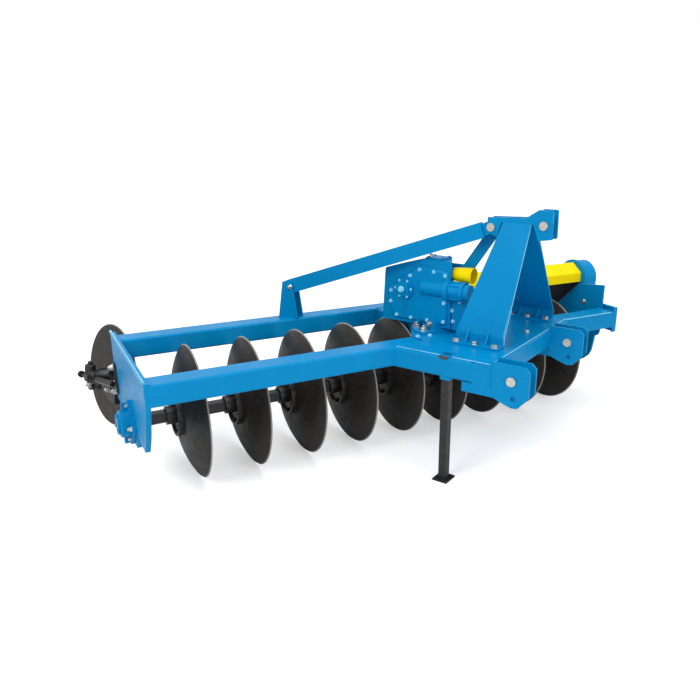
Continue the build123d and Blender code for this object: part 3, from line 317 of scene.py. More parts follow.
MATERIAL_OF_SLOT = {
    "blue_paint": BLUE,
    "disc_steel": DISC_STEEL,
    "black_paint": BLACK,
    "zinc_steel": ZINC,
    "bright_steel": SHAFT_STEEL,
    "yellow_guard": YELLOW,
}
CASE_SHADE_LINE = 766.0      # height, just below the hood's lower edge; under it the case is painted dark as shade
CASE_ENAMEL_AND_SHADE = enamel_with_painted_shade("case_enamel_with_painted_shade", CASE_SHADE_LINE)
MATERIAL_OF_NODE = {"tail_disc": TAIL_STEEL, "case_inner_cover": CASE_ENAMEL_AND_SHADE}
for subpart in frame["record"]["subparts"]:
    node_name = subpart["node"]
    finish = MATERIAL_OF_NODE.get(node_name, MATERIAL_OF_SLOT[subpart["material_slot"]])
    mesh = frame["nodes"][node_name].data
    mesh.materials.clear()
    mesh.materials.append(finish)


# Surfaces


def grid_faces(rows, columns):
    """Quads of a grid of rows by columns points, closed across its columns."""
    row, column = np.meshgrid(np.arange(rows - 1), np.arange(columns), indexing="ij")
    here = row * columns + column
    beside = row * columns + (column + 1) % columns
    return np.stack([here, beside, beside + columns, here + columns], axis=-1).reshape(-1, 4)


def square_axes(axis):
    """An axis at unit length, with two unit directions square to it and to each other."""
    axis = np.asarray(axis, float)
    axis = axis / np.linalg.norm(axis)
    helper = UP if abs(axis[2]) < 0.9 else AHEAD
    first = np.cross(helper, axis)
    first = first / np.linalg.norm(first)
    return axis, first, np.cross(axis, first)


def turned(profile, middle, axis, sides=24, phase=0.0):
    """A profile of (radius, height) points in mm, turned about an axis.

    Point = middle + height times the axis + radius times a direction that goes round it.
    """
    axis, first, second = square_axes(axis)
    radius, height = np.array(profile, float).T * MM
    angle = phase + 2 * math.pi * np.arange(sides) / sides
    around = np.cos(angle)[:, None] * first + np.sin(angle)[:, None] * second
    points = (
        np.asarray(middle) + height[:, None, None] * axis + radius[:, None, None] * around[None]
    )
    return points.reshape(-1, 3), grid_faces(len(radius), sides).tolist()


def swept(path, radii, sides=8):
    """A round cord of given radii in mm along a path of points, its ends drawn to a point.

    Each ring stands square to the path's local direction.
    """
    path = np.asarray(path, float)
    way = np.gradient(path, axis=0)
    way = way / np.linalg.norm(way, axis=1)[:, None]
    helper = np.where(np.abs(way[:, 2:3]) < 0.9, UP, AHEAD)
    first = np.cross(helper, way)
    first = first / np.linalg.norm(first, axis=1)[:, None]
    second = np.cross(way, first)
    angle = 2 * math.pi * np.arange(sides) / sides
    ring = np.cos(angle)[None, :, None] * first[:, None] + np.sin(angle)[None, :, None] * second[:, None]
    radii = np.asarray(radii, float)[:, None, None] * MM
    points = path[:, None] + radii * ring
    points = np.concatenate([np.repeat(path[:1, None], sides, 1), points,
                             np.repeat(path[-1:, None], sides, 1)])
    return points.reshape(-1, 3), grid_faces(len(points), sides).tolist()


def plate(outline, thickness, middle, across, up, out, hole=()):
    """A flat plate: outline and hole as (x, y) mm in a plane, carried thickness mm along out."""
    loops = [np.array(loop, float) * MM for loop in (outline, hole) if len(loop)]
    flat = [
        np.asarray(middle) + loop[:, :1] * np.asarray(across) + loop[:, 1:] * np.asarray(up)
        for loop in loops
    ]
    points = np.concatenate(flat)
    count = len(points)
    face = np.array(tessellate_polygon([[Vector(point) for point in loop] for loop in flat]))
    walls, start = [], 0
    for loop in flat:
        here = start + np.arange(len(loop))
        beside = start + (np.arange(len(loop)) + 1) % len(loop)
        walls.append(np.stack([here, beside, beside + count, here + count], axis=-1))
        start += len(loop)
    points = np.concatenate([points, points + np.asarray(out) * thickness * MM])
    return points, face.tolist() + (face + count).tolist() + np.concatenate(walls).tolist()


def add_piece(name, patches, material, body, sharp=32.0):
    """Join closed patches into one mesh that rides on a body; an edge past sharp degrees is hard."""
    points = np.concatenate([patch[0] for patch in patches])
    starts = np.cumsum([0] + [len(patch[0]) for patch in patches[:-1]]).tolist()
    faces = [
        [corner + start for corner in face]
        for patch, start in zip(patches, starts)
        for face in patch[1]
    ]
    mesh = bpy.data.meshes.new(name)
    mesh.from_pydata(points.tolist(), [], faces)
    shape = bmesh.new()
    shape.from_mesh(mesh)
    bmesh.ops.remove_doubles(shape, verts=shape.verts, dist=1e-6)
    bmesh.ops.recalc_face_normals(shape, faces=shape.faces)
    shape.to_mesh(mesh)
    shape.free()
    mesh.materials.append(material)
    mesh.shade_smooth()
    mesh.set_sharp_from_angle(angle=math.radians(sharp))
    piece = bpy.data.objects.new(name, mesh)
    bpy.context.scene.collection.objects.link(piece)
    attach(piece, body)
    return piece


# Fasteners


# Shares of a bolt's thread size: radii and heights of its washer, head and threaded end
WASHER_RADIUS, WASHER_TOP = 1.05, 0.14
HEAD_RADIUS, CROWN_RADIUS = 0.86, 0.74
HEAD_SHOULDER, HEAD_TOP = 0.7, 0.8
STUD_RADIUS, STUD_END_RADIUS = 0.48, 0.4
STUD_CHAMFER = 1.5
FIRST_TURN, NEXT_TURN = 0.3, 0.47      # of the heads in a row, in radians


def bolt(place, axis, size, proud=0.0, turn=FIRST_TURN):
    """Washer and chamfered hexagon head on a face, for a thread of about this size.

    Proud adds a threaded end that stands this far above the nut.
    """
    under, shoulder, top = WASHER_TOP * size, HEAD_SHOULDER * size, HEAD_TOP * size
    washer = [(0, 0), (WASHER_RADIUS * size, 0), (WASHER_RADIUS * size, under), (0, under)]
    head = [(0, under), (HEAD_RADIUS * size, under), (HEAD_RADIUS * size, shoulder),
            (CROWN_RADIUS * size, top), (0, top)]
    patches = [turned(washer, place, axis, 20), turned(head, place, axis, 6, turn)]
    if proud:
        end = top + proud
        stud = [(0, top), (STUD_RADIUS * size, top), (STUD_RADIUS * size, end - STUD_CHAMFER),
                (STUD_END_RADIUS * size, end), (0, end)]
        patches.append(turned(stud, place, axis, 16))
    return patches


def bolts(places, axis, size, proud=0.0):
    """Bolts at several places with one axis, each turned a little differently."""
    patches = []
    for number, place in enumerate(places):
        patches += bolt(place, axis, size, proud, FIRST_TURN + NEXT_TURN * number)
    return patches


BEAD_RIPPLE = 7.0            # along a weld, from one swelling to the next
BEAD_SWELL = 0.13            # as a share of the radius
BEAD_STEP = 2.3


def bead(start, end, radius):
    """Weld bead between two points.

    Radius = radius times (1 + swell times the sine of a turn for each ripple along the weld).
    """
    start, end = np.asarray(start), np.asarray(end)
    length = np.linalg.norm(end - start) / MM
    share = np.linspace(0, 1, max(int(length / BEAD_STEP), 4))
    radii = radius * (1 + BEAD_SWELL * np.sin(2 * math.pi * share * length / BEAD_RIPPLE))
    return swept(start + share[:, None] * (end - start), radii, 7)


def edge(start, end, thickness=12.0):
    """Rounded edge of a sheared plate: a cord along the middle of the edge, mostly sunk in it."""
    return swept([start, end], [thickness / 2, thickness / 2], 16)


def path_edges(points, thickness=12.0):
    """Rounded edges along a row of points."""
    return [edge(start, end, thickness) for start, end in zip(points[:-1], points[1:])]


def ring_of(count, radius, phase=0.0):
    """Points (x, y) evenly round a circle, the first at phase degrees."""
    turn = np.radians(phase) + 2 * math.pi * np.arange(count) / count
    return np.stack([radius * np.cos(turn), radius * np.sin(turn)], axis=-1)


# Bolted joints of the frame

MAST_BOLTS_AHEAD = (1005.0, 1107.0, 1212.0)
MAST_BOLT_OUT = 41.0         # from a foot's right face to the bolts in its flange
mast_bolts = [
    travel(ahead, foot - MAST_BOLT_OUT, FLANGE_TOP) for foot in MAST_FEET for ahead in MAST_BOLTS_AHEAD
]
add_piece("mast_bolts", bolts(mast_bolts, UP, 19), ZINC, "frame")
DECK_BOLT = (1215.0, 1210.0)           # ahead, left
add_piece(
    "deck_bolt", bolts([travel(*DECK_BOLT, DECK_TOP)], UP, 15), ZINC, "frame"
)
MAST_GUSSET = ((0, 0), (-40, 0), (0, 60))      # left of the foot's face, height over the flange
MAST_GUSSETS_AHEAD = (1050.0, 1156.0)
mast_gussets = [
    plate(MAST_GUSSET, 8.0, travel(ahead, foot, FLANGE_TOP), LEFT, UP, AHEAD)
    for foot in MAST_FEET
    for ahead in MAST_GUSSETS_AHEAD
]
add_piece("mast_gussets", mast_gussets, BLUE, "frame")
PAINTED_BOLTS = ((793.0, 797.0), (833.0, 850.0))       # ahead, left
# These painted bolts are pale blue: a painted highlight on their paint
add_piece(
    "deck_bolts_painted",
    bolts([travel(*place, DECK_TOP) for place in PAINTED_BOLTS], UP, 12), PAINTED_HIGHLIGHT_BLUE, "frame",
)

# Deck, its rear corner cut off as the real one is

DECK_RIGHT, DECK_FRONT = 607.0, 1288.0         # left: its right edge; ahead: its front edge
DECK_ALONG = (1060.0, 1860.0)
DECK_REAR = -140.0                             # across
SADDLE_ALONG, SADDLE_REAR = (1165.0, 1345.0), -66.0    # tongue under the gearbox
SLEEVE_HALF = 25.8                             # half width of the notch round the stand's sleeve
CUT_CORNER = ((1153.0, DECK_REAR), (1059.4, -304.4))   # along, across


def ahead_left(along, across):
    """Place (ahead, left) of a gang place."""
    return GANG[0] * along - GANG[1] * across, GANG[1] * along + GANG[0] * across


def front_face_at(left=None, ahead=None):
    """Place (ahead, left) where the front beam's front face passes a place left or ahead."""
    if ahead is None:
        along = (left - GANG[0] * FRONT_BEAM[0]) / GANG[1]
    else:
        along = (ahead + GANG[1] * FRONT_BEAM[0]) / GANG[0]
    return ahead_left(along, FRONT_BEAM[0])


sleeve_rear, sleeve_front = STAND[0] - SLEEVE_HALF, STAND[0] + SLEEVE_HALF
sleeve_left = STAND[1] + SLEEVE_HALF
deck_outline = [
    front_face_at(left=DECK_RIGHT), (sleeve_rear, DECK_RIGHT), (sleeve_rear, sleeve_left),
    (sleeve_front, sleeve_left), (sleeve_front, DECK_RIGHT), (DECK_FRONT, DECK_RIGHT),
    front_face_at(ahead=DECK_FRONT),
] + [
    ahead_left(along, across)
    for along, across in (
        (DECK_ALONG[1], FRONT_BEAM[0]), (DECK_ALONG[1], DECK_REAR),
        (SADDLE_ALONG[1], DECK_REAR), (SADDLE_ALONG[1], SADDLE_REAR),
        (SADDLE_ALONG[0], SADDLE_REAR), (SADDLE_ALONG[0], DECK_REAR),
        *CUT_CORNER, (DECK_ALONG[0], FRONT_BEAM[0]),
    )
]
deck_plate = add_piece(
    "deck_plate", [plate(deck_outline, DECK, travel(0, 0, DECK_TOP - DECK), AHEAD, LEFT, UP)],
    BLUE, "frame",
)
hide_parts("deck")

# Gearbox: foot, covers and plugs

FOOT = ((1140, -190), (1165, -190), (1165, -338), (1104, -338), (1104, -250))  # along, across
FOOT_THICKNESS = 14.0
FOOT_BOLTS = ((1140.0, -222.0), (1136.0, -300.0))      # along, across
PEDESTAL_BOLT = (1179.0, -290.0, 688.0)
add_piece(
    "gearbox_foot",
    [plate(FOOT, FOOT_THICKNESS, gang(0, 0, DECK_TOP), GANG, REARWARD, UP)], BLUE, "frame",
)
add_piece(
    "gearbox_foot_bolts",
    bolts([gang(*place, DECK_TOP + FOOT_THICKNESS) for place in FOOT_BOLTS], UP, 20, 12), ZINC,
    "frame",
)
add_piece("pedestal_bolts", bolts([gang(*PEDESTAL_BOLT)], -GANG, 17), ZINC, "frame")
# A thin black sheet on the beam's corner stands for the dark inside of the stand's slot: painted shade
SLOT_HALF = (27.0, 9.0)                # half its length and half its width
SLOT_LEAN = math.radians(30.0)         # it lies on the rounded upper corner of the side beam
SLOT_PLACE = (1049.0, 602.0, 635.5)    # ahead, left, height
slot_outline = [(SLOT_HALF[0] * x, SLOT_HALF[1] * y) for x, y in ring_of(32, 1.0)]
slot_up = math.cos(SLOT_LEAN) * UP + math.sin(SLOT_LEAN) * LEFT
add_piece(
    "stand_slot_painted_shade",
    [plate(slot_outline, 2.5, travel(*SLOT_PLACE), AHEAD, slot_up, np.cross(AHEAD, slot_up))],
    BLACK, "frame",
)
BRACE_FOOT_BOLT = (-8.0, 741.0, 820.0)         # ahead, left, height
add_piece(
    "brace_foot_bolt", bolts([travel(*BRACE_FOOT_BOLT)], RIGHT, 14, 8), ZINC, "frame"
)
GABLE_FACE = 931.0           # left
GABLE_BOLTS = (              # ahead, height
    (578, 708), (540, 778), (541, 838), (600, 884), (660, 930), (716, 967),
    (800, 963), (866, 950), (864, 808), (864, 708), (768, 704), (668, 704),
)
BOSS = (625.0, 858.0)        # ahead, height of the boss on the gable
BOSS_STANDS_OUT = (12.0, 32.0)         # its flange and its middle, from the gable's face
BOSS_BOLTS_RADIUS = 47.0
SUMP_FACE = 959.0            # left
SUMP_BOLTS = ((898, 768), (906, 712), (940, 820))      # ahead, height
gable_bolts = [travel(ahead, GABLE_FACE, height) for ahead, height in GABLE_BOLTS]
boss_bolts = [
    travel(BOSS[0] + x, GABLE_FACE - BOSS_STANDS_OUT[0], BOSS[1] + y)
    for x, y in ring_of(6, BOSS_BOLTS_RADIUS)
]
sump_bolts = [travel(ahead, SUMP_FACE, height) for ahead, height in SUMP_BOLTS]
# The gearbox's bolts and the boss nut are pale blue: a painted highlight on their paint
add_piece(
    "gearbox_bolts",
    bolts(gable_bolts, RIGHT, 10) + bolts(boss_bolts, RIGHT, 7) + bolts(sump_bolts, RIGHT, 11),
    PAINTED_HIGHLIGHT_BLUE, "frame",
)
add_piece(
    "boss_nut", bolt(travel(BOSS[0], GABLE_FACE - BOSS_STANDS_OUT[1], BOSS[1]), RIGHT, 17),
    PAINTED_HIGHLIGHT_BLUE, "frame",
)
NOSE = (950.0, 873.0)        # left, height
NOSE_FLANGE, NOSE_END = 892.0, 976.0           # ahead: front faces of its flange and of its end
NOSE_CAP = ((0, 0), (38, 0), (38, 5), (31, 9), (0, 10))        # radius, height
COVER_MIDDLE = (790.0, 1000.0)         # ahead, left
COVER_TOP = 1032.0
COVER_BOLTS_OUT = (42.0, 36.0)         # from the top cover's middle
OUTPUT_FLANGE = 1195.0                 # along: face of the flange that the side shaft leaves by
nose_bolts = [travel(NOSE_FLANGE, NOSE[0] + x, NOSE[1] + y) for x, y in ring_of(8, 51, 22.5)]
cover_bolts = [
    travel(COVER_MIDDLE[0] + x * COVER_BOLTS_OUT[0], COVER_MIDDLE[1] + y * COVER_BOLTS_OUT[1], COVER_TOP)
    for x in (-1, 1)
    for y in (-1, 1)
]
flange_bolts = [
    gang(OUTPUT_FLANGE, SIDE_SHAFT[0] + x, SIDE_SHAFT[1] + y) for x, y in ring_of(8, 84, 22.5)
]
add_piece(
    "gearbox_cover_bolts",
    bolts(nose_bolts, AHEAD, 5) + bolts(cover_bolts, UP, 7) + bolts(flange_bolts, GANG, 9)
    + [turned(NOSE_CAP, travel(NOSE_END, *NOSE), AHEAD, 32)],
    BLUE, "frame",
)
BREATHER_PLACE = (762.0, 972.0)        # ahead, left
BREATHER = (                           # radius, height
    (0, 0), (11, 0), (11, 5), (8, 6), (8, 9), (12, 10), (12, 15), (9, 18), (0, 18),
)
add_piece(
    "breather", [turned(BREATHER, travel(*BREATHER_PLACE, COVER_TOP), UP, 24)], ZINC, "frame",
)
INPUT_NECK_END = 884.0                 # ahead
INPUT_SEAL = ((22, 0), (29.5, 0), (29.5, 3), (22, 3), (22, 0))
add_piece(
    "input_seal", [turned(INPUT_SEAL, travel(INPUT_NECK_END, *INPUT), AHEAD, 40)], BLACK, "frame",
)

# Splined input stub in place of the plain one

SPLINES = 6
SPLINE_TOP, SPLINE_ROOT = 17.45, 14.6
SHOULDER = 21.0
STUB_START = 890.0           # ahead: where the splines start
STUB_RINGS = (               # ahead of that, radius of the splines, radius of the grooves
    (-85.0, SHOULDER, SHOULDER), (0.0, SHOULDER, SHOULDER),
    (0.0, SPLINE_TOP, SPLINE_ROOT), (36.0, SPLINE_TOP, SPLINE_ROOT),
    (38.0, SPLINE_ROOT, SPLINE_ROOT), (45.0, SPLINE_ROOT, SPLINE_ROOT),        # locking groove
    (47.0, SPLINE_TOP, SPLINE_ROOT), (62.0, SPLINE_TOP, SPLINE_ROOT),
    (65.0, 15.2, SPLINE_ROOT - 1.0),                                           # chamfered end
)


def splined_stub(sides=96):
    """Six-spline shaft, on rings ahead of where the splines start.

    A ring has its splines' radius where cos(6 x turn) is above zero, its grooves' radius elsewhere.
    """
    turn = 2 * math.pi * np.arange(sides) / sides
    ahead, high, low = (column[:, None] for column in np.array(STUB_RINGS).T)
    radius = np.where(np.cos(SPLINES * turn) > 0, high, low)
    radius = np.concatenate([np.zeros((1, sides)), radius, np.zeros((1, sides))])
    ahead = np.concatenate([ahead[:1], ahead, ahead[-1:]])
    points = (
        travel(STUB_START, *INPUT)
        + MM * (ahead[..., None] * AHEAD
                + (radius * np.cos(turn))[..., None] * LEFT + (radius * np.sin(turn))[..., None] * UP)
    )
    return points.reshape(-1, 3), grid_faces(len(radius), sides).tolist()


stub = add_piece("splined_stub", [splined_stub()], SHAFT_STEEL, "input_shaft", 25.0)
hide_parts("input_shaft")

# Chain case: a sheet of painted shade beside it, bolts, caps and plug on its outer cover

# This sheet stands where there is only shade; below the shade line it is near-black painted shade
SHADE_SHEET = ((40, 560), (120, 560), (146, 590), (146, 740), (120, 770), (40, 770))        # across, height
add_piece(
    "case_shade_sheet", [plate(SHADE_SHEET, 3.0, gang(LEFT_FACE, 0, 0), REARWARD, UP, GANG)], CASE_ENAMEL_AND_SHADE,
    "frame",
)
CASE_FACE = 2538.0           # along: face of its outer cover
CASE_LOW = (0.0, AXLE_HEIGHT)          # across, height of its lower bearing
CASE_ROUNDS = ((SIDE_SHAFT, 82.0, 1), (CASE_LOW, 114.0, -1))   # middle, radius, which half has bolts
CASE_ROUND_PAST = 20.0       # how far its bolts go past that half
CASE_SIDE_BOLTS = ((-130, 640), (-122, 480), (42, 640), (64, 490))     # across, height
CASE_PLUG_PLACE = (20.0, 560.0)        # across, height
case_bolts = [
    gang(CASE_FACE, middle[0] + x, middle[1] + y)
    for middle, radius, half in CASE_ROUNDS
    for x, y in ring_of(12, radius, 6.0)
    if y * half > -CASE_ROUND_PAST
]
case_bolts += [gang(CASE_FACE, x, y) for x, y in CASE_SIDE_BOLTS]
LOWER_CAP = ((0, 0), (62, 0), (62, 8), (52, 16), (34, 18), (0, 18))    # radius, height
UPPER_CAP = ((0, 0), (46, 0), (46, 8), (38, 14), (0, 15))
CASE_PLUG = ((0, 0), (14, 0), (14, 4), (10, 4), (10, 12), (0, 12))
lower_cap_bolts = [
    gang(CASE_FACE + LOWER_CAP[2][1], CASE_LOW[0] + x, CASE_LOW[1] + y) for x, y in ring_of(6, 56, 30)
]
add_piece(
    "case_covers",
    bolts(case_bolts, GANG, 9)
    + [turned(LOWER_CAP, gang(CASE_FACE, *CASE_LOW), GANG, 48),
       turned(UPPER_CAP, gang(CASE_FACE, *SIDE_SHAFT), GANG, 40),
       turned(CASE_PLUG, gang(CASE_FACE, *CASE_PLUG_PLACE), GANG, 6)]
    + bolts(lower_cap_bolts, GANG, 5),
    BLUE, "frame",
)
HEAD_BOLT = (-188.0, 658.0)            # across, height
add_piece(
    "head_bolt", bolts([gang(LEFT_INSIDE, *HEAD_BOLT)], -GANG, 15), ZINC, "frame"
)

# Left end plate, cut in under the front beam as the real one is

LEFT_PLATE_OUTLINE = (       # across, height
    (-421, 640), (-333, 640), (-333, 786), (-131, 762), (37, 604), (120, 560), (318, 560),
    (318, 640), (438, 640), (438, 540), (120, 210), (-60, 210), (-120, 228), (-192, 274),
    (-225, 293), (-263, 327), (-280, 359), (-293, 428), (-296, 458), (-326, 475), (-331, 500),
    (-334, 540), (-421, 540),
)
AXLE_HOLE_RADIUS = 38.0
axle_hole = [(x, AXLE_HEIGHT + y) for x, y in ring_of(40, AXLE_HOLE_RADIUS)]
end_plate = add_piece(
    "end_plate",
    [plate(LEFT_PLATE_OUTLINE, LEFT_FACE - LEFT_INSIDE, gang(LEFT_INSIDE, 0, 0), REARWARD, UP, GANG,
           axle_hole)],
    BLUE, "frame",
)
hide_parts("left_end_plate")

# Rear bearing

TAIL_FOOT_BOLTS = ((470.0, 462.0), (470.0, 372.0))     # across, height
BEARING_FLANGE = 18.0        # this and the next two: how far out from the right end plate
BEARING_SHELF = 34.0
BEARING_COVER = 70.0
NIPPLE_PLACE = (40.0, 381.0)           # across, height
NIPPLE = ((0, 0), (5, 0), (5, 5), (3, 6), (3, 11), (4, 13), (2.5, 16), (0, 16))        # radius, height
tail_plate_bolts = [gang(RIGHT_FACE, *place) for place in TAIL_FOOT_BOLTS]
add_piece("tail_plate_bolts", bolts(tail_plate_bolts, -GANG, 17, 10), ZINC, "frame")
bearing_bolts = [gang(RIGHT_FACE - BEARING_FLANGE, x, AXLE_HEIGHT + y) for x, y in ring_of(4, 84)]
add_piece("bearing_bolts", bolts(bearing_bolts, -GANG, 14, 8), ZINC, "frame")
bearing_cover_bolts = [
    gang(RIGHT_FACE - BEARING_COVER, x, AXLE_HEIGHT + y) for x, y in ring_of(3, 36, 90)
]
add_piece(
    "bearing_cover_bolts", bolts(bearing_cover_bolts, -GANG, 6), BLUE, "frame"
)
add_piece(
    "grease_nipple", [turned(NIPPLE, gang(RIGHT_FACE - BEARING_SHELF, *NIPPLE_PLACE), UP, 12)],
    ZINC, "frame",
)

# Furrow disc: hub bolts and arm nuts

tail_away = TAIL_AXIS if TAIL_AXIS[1] > 0 else -TAIL_AXIS
tail_ahead = np.cross(tail_away, UP)
tail_ahead = tail_ahead / np.linalg.norm(tail_ahead)
tail_up = np.cross(tail_away, tail_ahead)
tail_up = tail_up if tail_up[2] > 0 else -tail_up


def on_tail(ahead, up, out):
    """Model point by its place ahead and up in the furrow disc's plane, and how far left of it."""
    return TAIL_MIDDLE + MM * (ahead * tail_ahead + up * tail_up + out * tail_away)


DUST_CAP = ((0, 0), (30, 0), (30, 12), (24, 20), (0, 22))      # radius, height
HUB_FACE, DISC_BACK = -22.0, 3.0       # left of the furrow disc's plane
hub_circle = ring_of(5, 41, 18)
add_piece(
    "furrow_hub_bolts",
    bolts([on_tail(x, y, HUB_FACE) for x, y in hub_circle], -tail_away, 9)
    + bolts([on_tail(x, y, DISC_BACK) for x, y in hub_circle], tail_away, 9, 5)
    + [turned(DUST_CAP, on_tail(0, 0, DISC_BACK), tail_away, 32)],
    BLACK, "tail_disc",
)
ARM_NUTS = ((-107.0, -75.0, -78.0), (100.0, -50.0, -66.0))     # ahead, up, out
ARM_HEAD = (-107.0, -75.0, -22.0)
add_piece(
    "furrow_arm_nuts",
    bolts([on_tail(*place) for place in ARM_NUTS], -tail_away, 17, 8)
    + bolts([on_tail(*ARM_HEAD)], tail_away, 16),
    ZINC, "frame",
)

# Furrow disc's bracket: hub housing, fork, strap on the end plate, clamp boss and adjusting bolt

HOUSING = (                  # radius, height, as in the two profiles below it
    (0, 0), (34, 0), (34, 8), (39, 12), (39, 58), (34, 64), (34, 72), (22, 75), (22, 84), (0, 84),
)
CLAMP = ((0, 0), (24, 0), (27, 4), (27, 66), (22, 72), (13, 72), (13, 88), (0, 88))
ADJUSTER = ((0, 0), (9, 0), (9, 84), (19, 84), (19, 100), (9, 100), (9, 112), (0, 114))
HOUSING_PLACE = (0.0, 0.0, -64.0)      # ahead, up, out
CLAMP_PLACE = (-14.0, -6.0, -118.0)
ADJUSTER_PLACE = (-20.0, -12.0, -122.0)
HOUSING_FACE = -136.0                  # out: face of its step that the cap screws go in
STRAP_THICKNESS = 12.0
STRAP_FACE = RIGHT_FACE - STRAP_THICKNESS
STRAP = (                    # across, height
    (374, 352), (388, 336), (412, 336), (426, 352), (444, 480), (436, 496), (404, 496), (394, 480),
)
FORK = (                     # start (ahead, up, out); end (across, height) on the strap
    ((-6, 12, -104), (418, 446)),
    ((-6, -8, -112), (408, 388)),
)
FORK_RADII = (20.0, 18.0)              # of its square arms, at their start and end
STRAP_BOLTS = ((417.0, 476.0), (398.0, 354.0))         # across, height
fork = [
    swept([on_tail(*start), gang(STRAP_FACE - STRAP_THICKNESS, *end)], FORK_RADII, 4)
    for start, end in FORK
]
add_piece(
    "furrow_bracket",
    [turned(HOUSING, on_tail(*HOUSING_PLACE), -tail_away, 40),
     turned(CLAMP, on_tail(*CLAMP_PLACE), tail_up, 32),
     turned(ADJUSTER, on_tail(*ADJUSTER_PLACE), -tail_ahead, 12),
     plate(STRAP, STRAP_THICKNESS, gang(RIGHT_FACE, 0, 0), REARWARD, UP, -GANG)]
    + fork + bolts([on_tail(x, y, HOUSING_FACE) for x, y in ring_of(4, 27, 30)], -tail_away, 5),
    BLACK, "frame",
)
strap_bolts = [gang(STRAP_FACE, *place) for place in STRAP_BOLTS]
add_piece("strap_bolts", bolts(strap_bolts, -GANG, 19, 10), ZINC, "frame")

# Hub bolts of the gang

hub_circle = ring_of(6, 85.0, 20)
hub_bolts = []
for number in range(DISC_COUNT):
    front = DISC_SPACING * number - DISC_DISH
    back = front - DISC_THICKNESS - HUB_FLANGE
    hub_bolts += bolts([gang(back, x, AXLE_HEIGHT + y) for x, y in hub_circle], -GANG, 11, 9)
    hub_bolts += bolts([gang(front, x, AXLE_HEIGHT + y) for x, y in hub_circle], GANG, 10)
add_piece("hub_bolts", hub_bolts, BLACK, "gang")

# Linch pins that keep the hitch and mast pins

LINCH_WIRE, LOOP_WIRE = 3.5, 2.0       # radius of the pin and of its spring loop
LOOP_REACH, LOOP_INSET = 26.0, 4.0     # how far ahead it swings, and how far inside the pin's ends
LOOP_TURN = (-0.42 * math.pi, 1.42 * math.pi)
LINCH_PINS = (               # ahead, left, height, half length
    (1395.0, 693.0, 588.0, 27.0),
    (1395.0, 1439.0, 588.0, 27.0),
    (1354.0, 1056.0, 1232.0, 24.0),
    (1089.0, 1068.0, 1208.0, 24.0),
)


def linch_pin(ahead, left, height, half):
    """Straight pin and its loop: ahead = reach x cos(turn), height = (half - inset) x sin(turn)."""
    turn = np.linspace(*LOOP_TURN, 40)
    loop = travel(ahead, left + LOOP_WIRE, height) + MM * (
        LOOP_REACH * np.cos(turn)[:, None] * AHEAD
        + (half - LOOP_INSET) * np.sin(turn)[:, None] * UP
    )
    pin = [travel(ahead, left, height - half), travel(ahead, left, height + half)]
    return [
        swept(pin, np.full(len(pin), LINCH_WIRE), 12),
        swept(loop, np.full(len(loop), LOOP_WIRE), 8),
    ]


linch_pins = [patch for pin in LINCH_PINS for patch in linch_pin(*pin)]
add_piece("linch_pins", linch_pins, ZINC, "frame")

# Gusset beside the gearbox's foot, and the edges of sheared plates, pale blue as a painted highlight

GUSSET = ((-155, 648), (-231, 648), (-231, 719))       # across, height
GUSSET_ALONG = 1152.0
add_piece(
    "deck_gusset", [plate(GUSSET, 6.0, gang(GUSSET_ALONG, 0, 0), REARWARD, UP, GANG)], BLUE, "frame",
)
MAST_EDGES = (               # left at the foot, left at the top, thickness
    (856.0, 976.0, 12.0),
    (1534.0, 1042.0, 7.0),
)
MAST_EDGE_FOOT = ((1235.5, 662.0), (1235.5, 700.0))    # ahead, height
MAST_EDGE_TOP = (1285.5, 1233.0)
HITCH_EDGE = ((1428, 470.5), (1473, 522), (1473, 637), (1452, 656.5), (1300, 656.5))   # ahead, height
EAR_EDGE = (                 # ahead, height
    (1070, 1248), (1263, 1255), (1326, 1296), (1385, 1296), (1389, 1290), (1389, 1173),
)
EAR_LEFTS = (976.0, 1042.0)  # left: middle of each ear
BEAM_EDGES = (               # start, end, thickness
    (gang(2445, -417, 661.5), gang(2445, -295, 661.5), 10.0),          # end guard's top
    (gang(2414, -328.5, 783), gang(2414, -133, 759), 7.0),             # left end plate's head
    (gang(1870, -418, 637), gang(2400, -418, 637), 5.0),               # front beam's front corner
    (gang(1154, -162, 652), gang(1157.5, -229, 716), 7.0),             # gusset's slope
    (gang(-275, -398, 643.0), gang(-275, 508, 643.0), 13.0),           # right end plate's top
)
edges = []
for foot, top, thickness in MAST_EDGES:
    leg = [travel(ahead, foot, height) for ahead, height in MAST_EDGE_FOOT]
    edges += path_edges(leg + [travel(MAST_EDGE_TOP[0], top, MAST_EDGE_TOP[1])], thickness)
for left in HITCH_LEFTS:
    corners = HITCH_EDGE if left > INPUT[0] else HITCH_EDGE[2:4]     # right pair: upper bevel only
    edges += path_edges([travel(ahead, left, height) for ahead, height in corners], 10.0)
for left in EAR_LEFTS:
    edges += path_edges([travel(ahead, left, height) for ahead, height in EAR_EDGE])
edges += [edge(*ends) for ends in BEAM_EDGES]
add_piece("plate_edge_painted_highlights", edges, PAINTED_HIGHLIGHT_BLUE, "frame")
# Pale blue painted highlights along the deck's edges
DECK_EDGES = (               # start, end, thickness: right edge each side of the stand, front edge
    (travel(785, 608.5, 644.5), travel(1026, 608.5, 644.5), 5.0),
    (travel(1090, 608.5, 644.5), travel(1286, 608.5, 644.5), 5.0),
    (travel(1286.5, 610, 645), travel(1286.5, 1616, 645), 6.0),
)
add_piece("deck_edge_painted_highlights", [edge(*ends) for ends in DECK_EDGES], PAINTED_HIGHLIGHT_BLUE, "frame")

# Welds

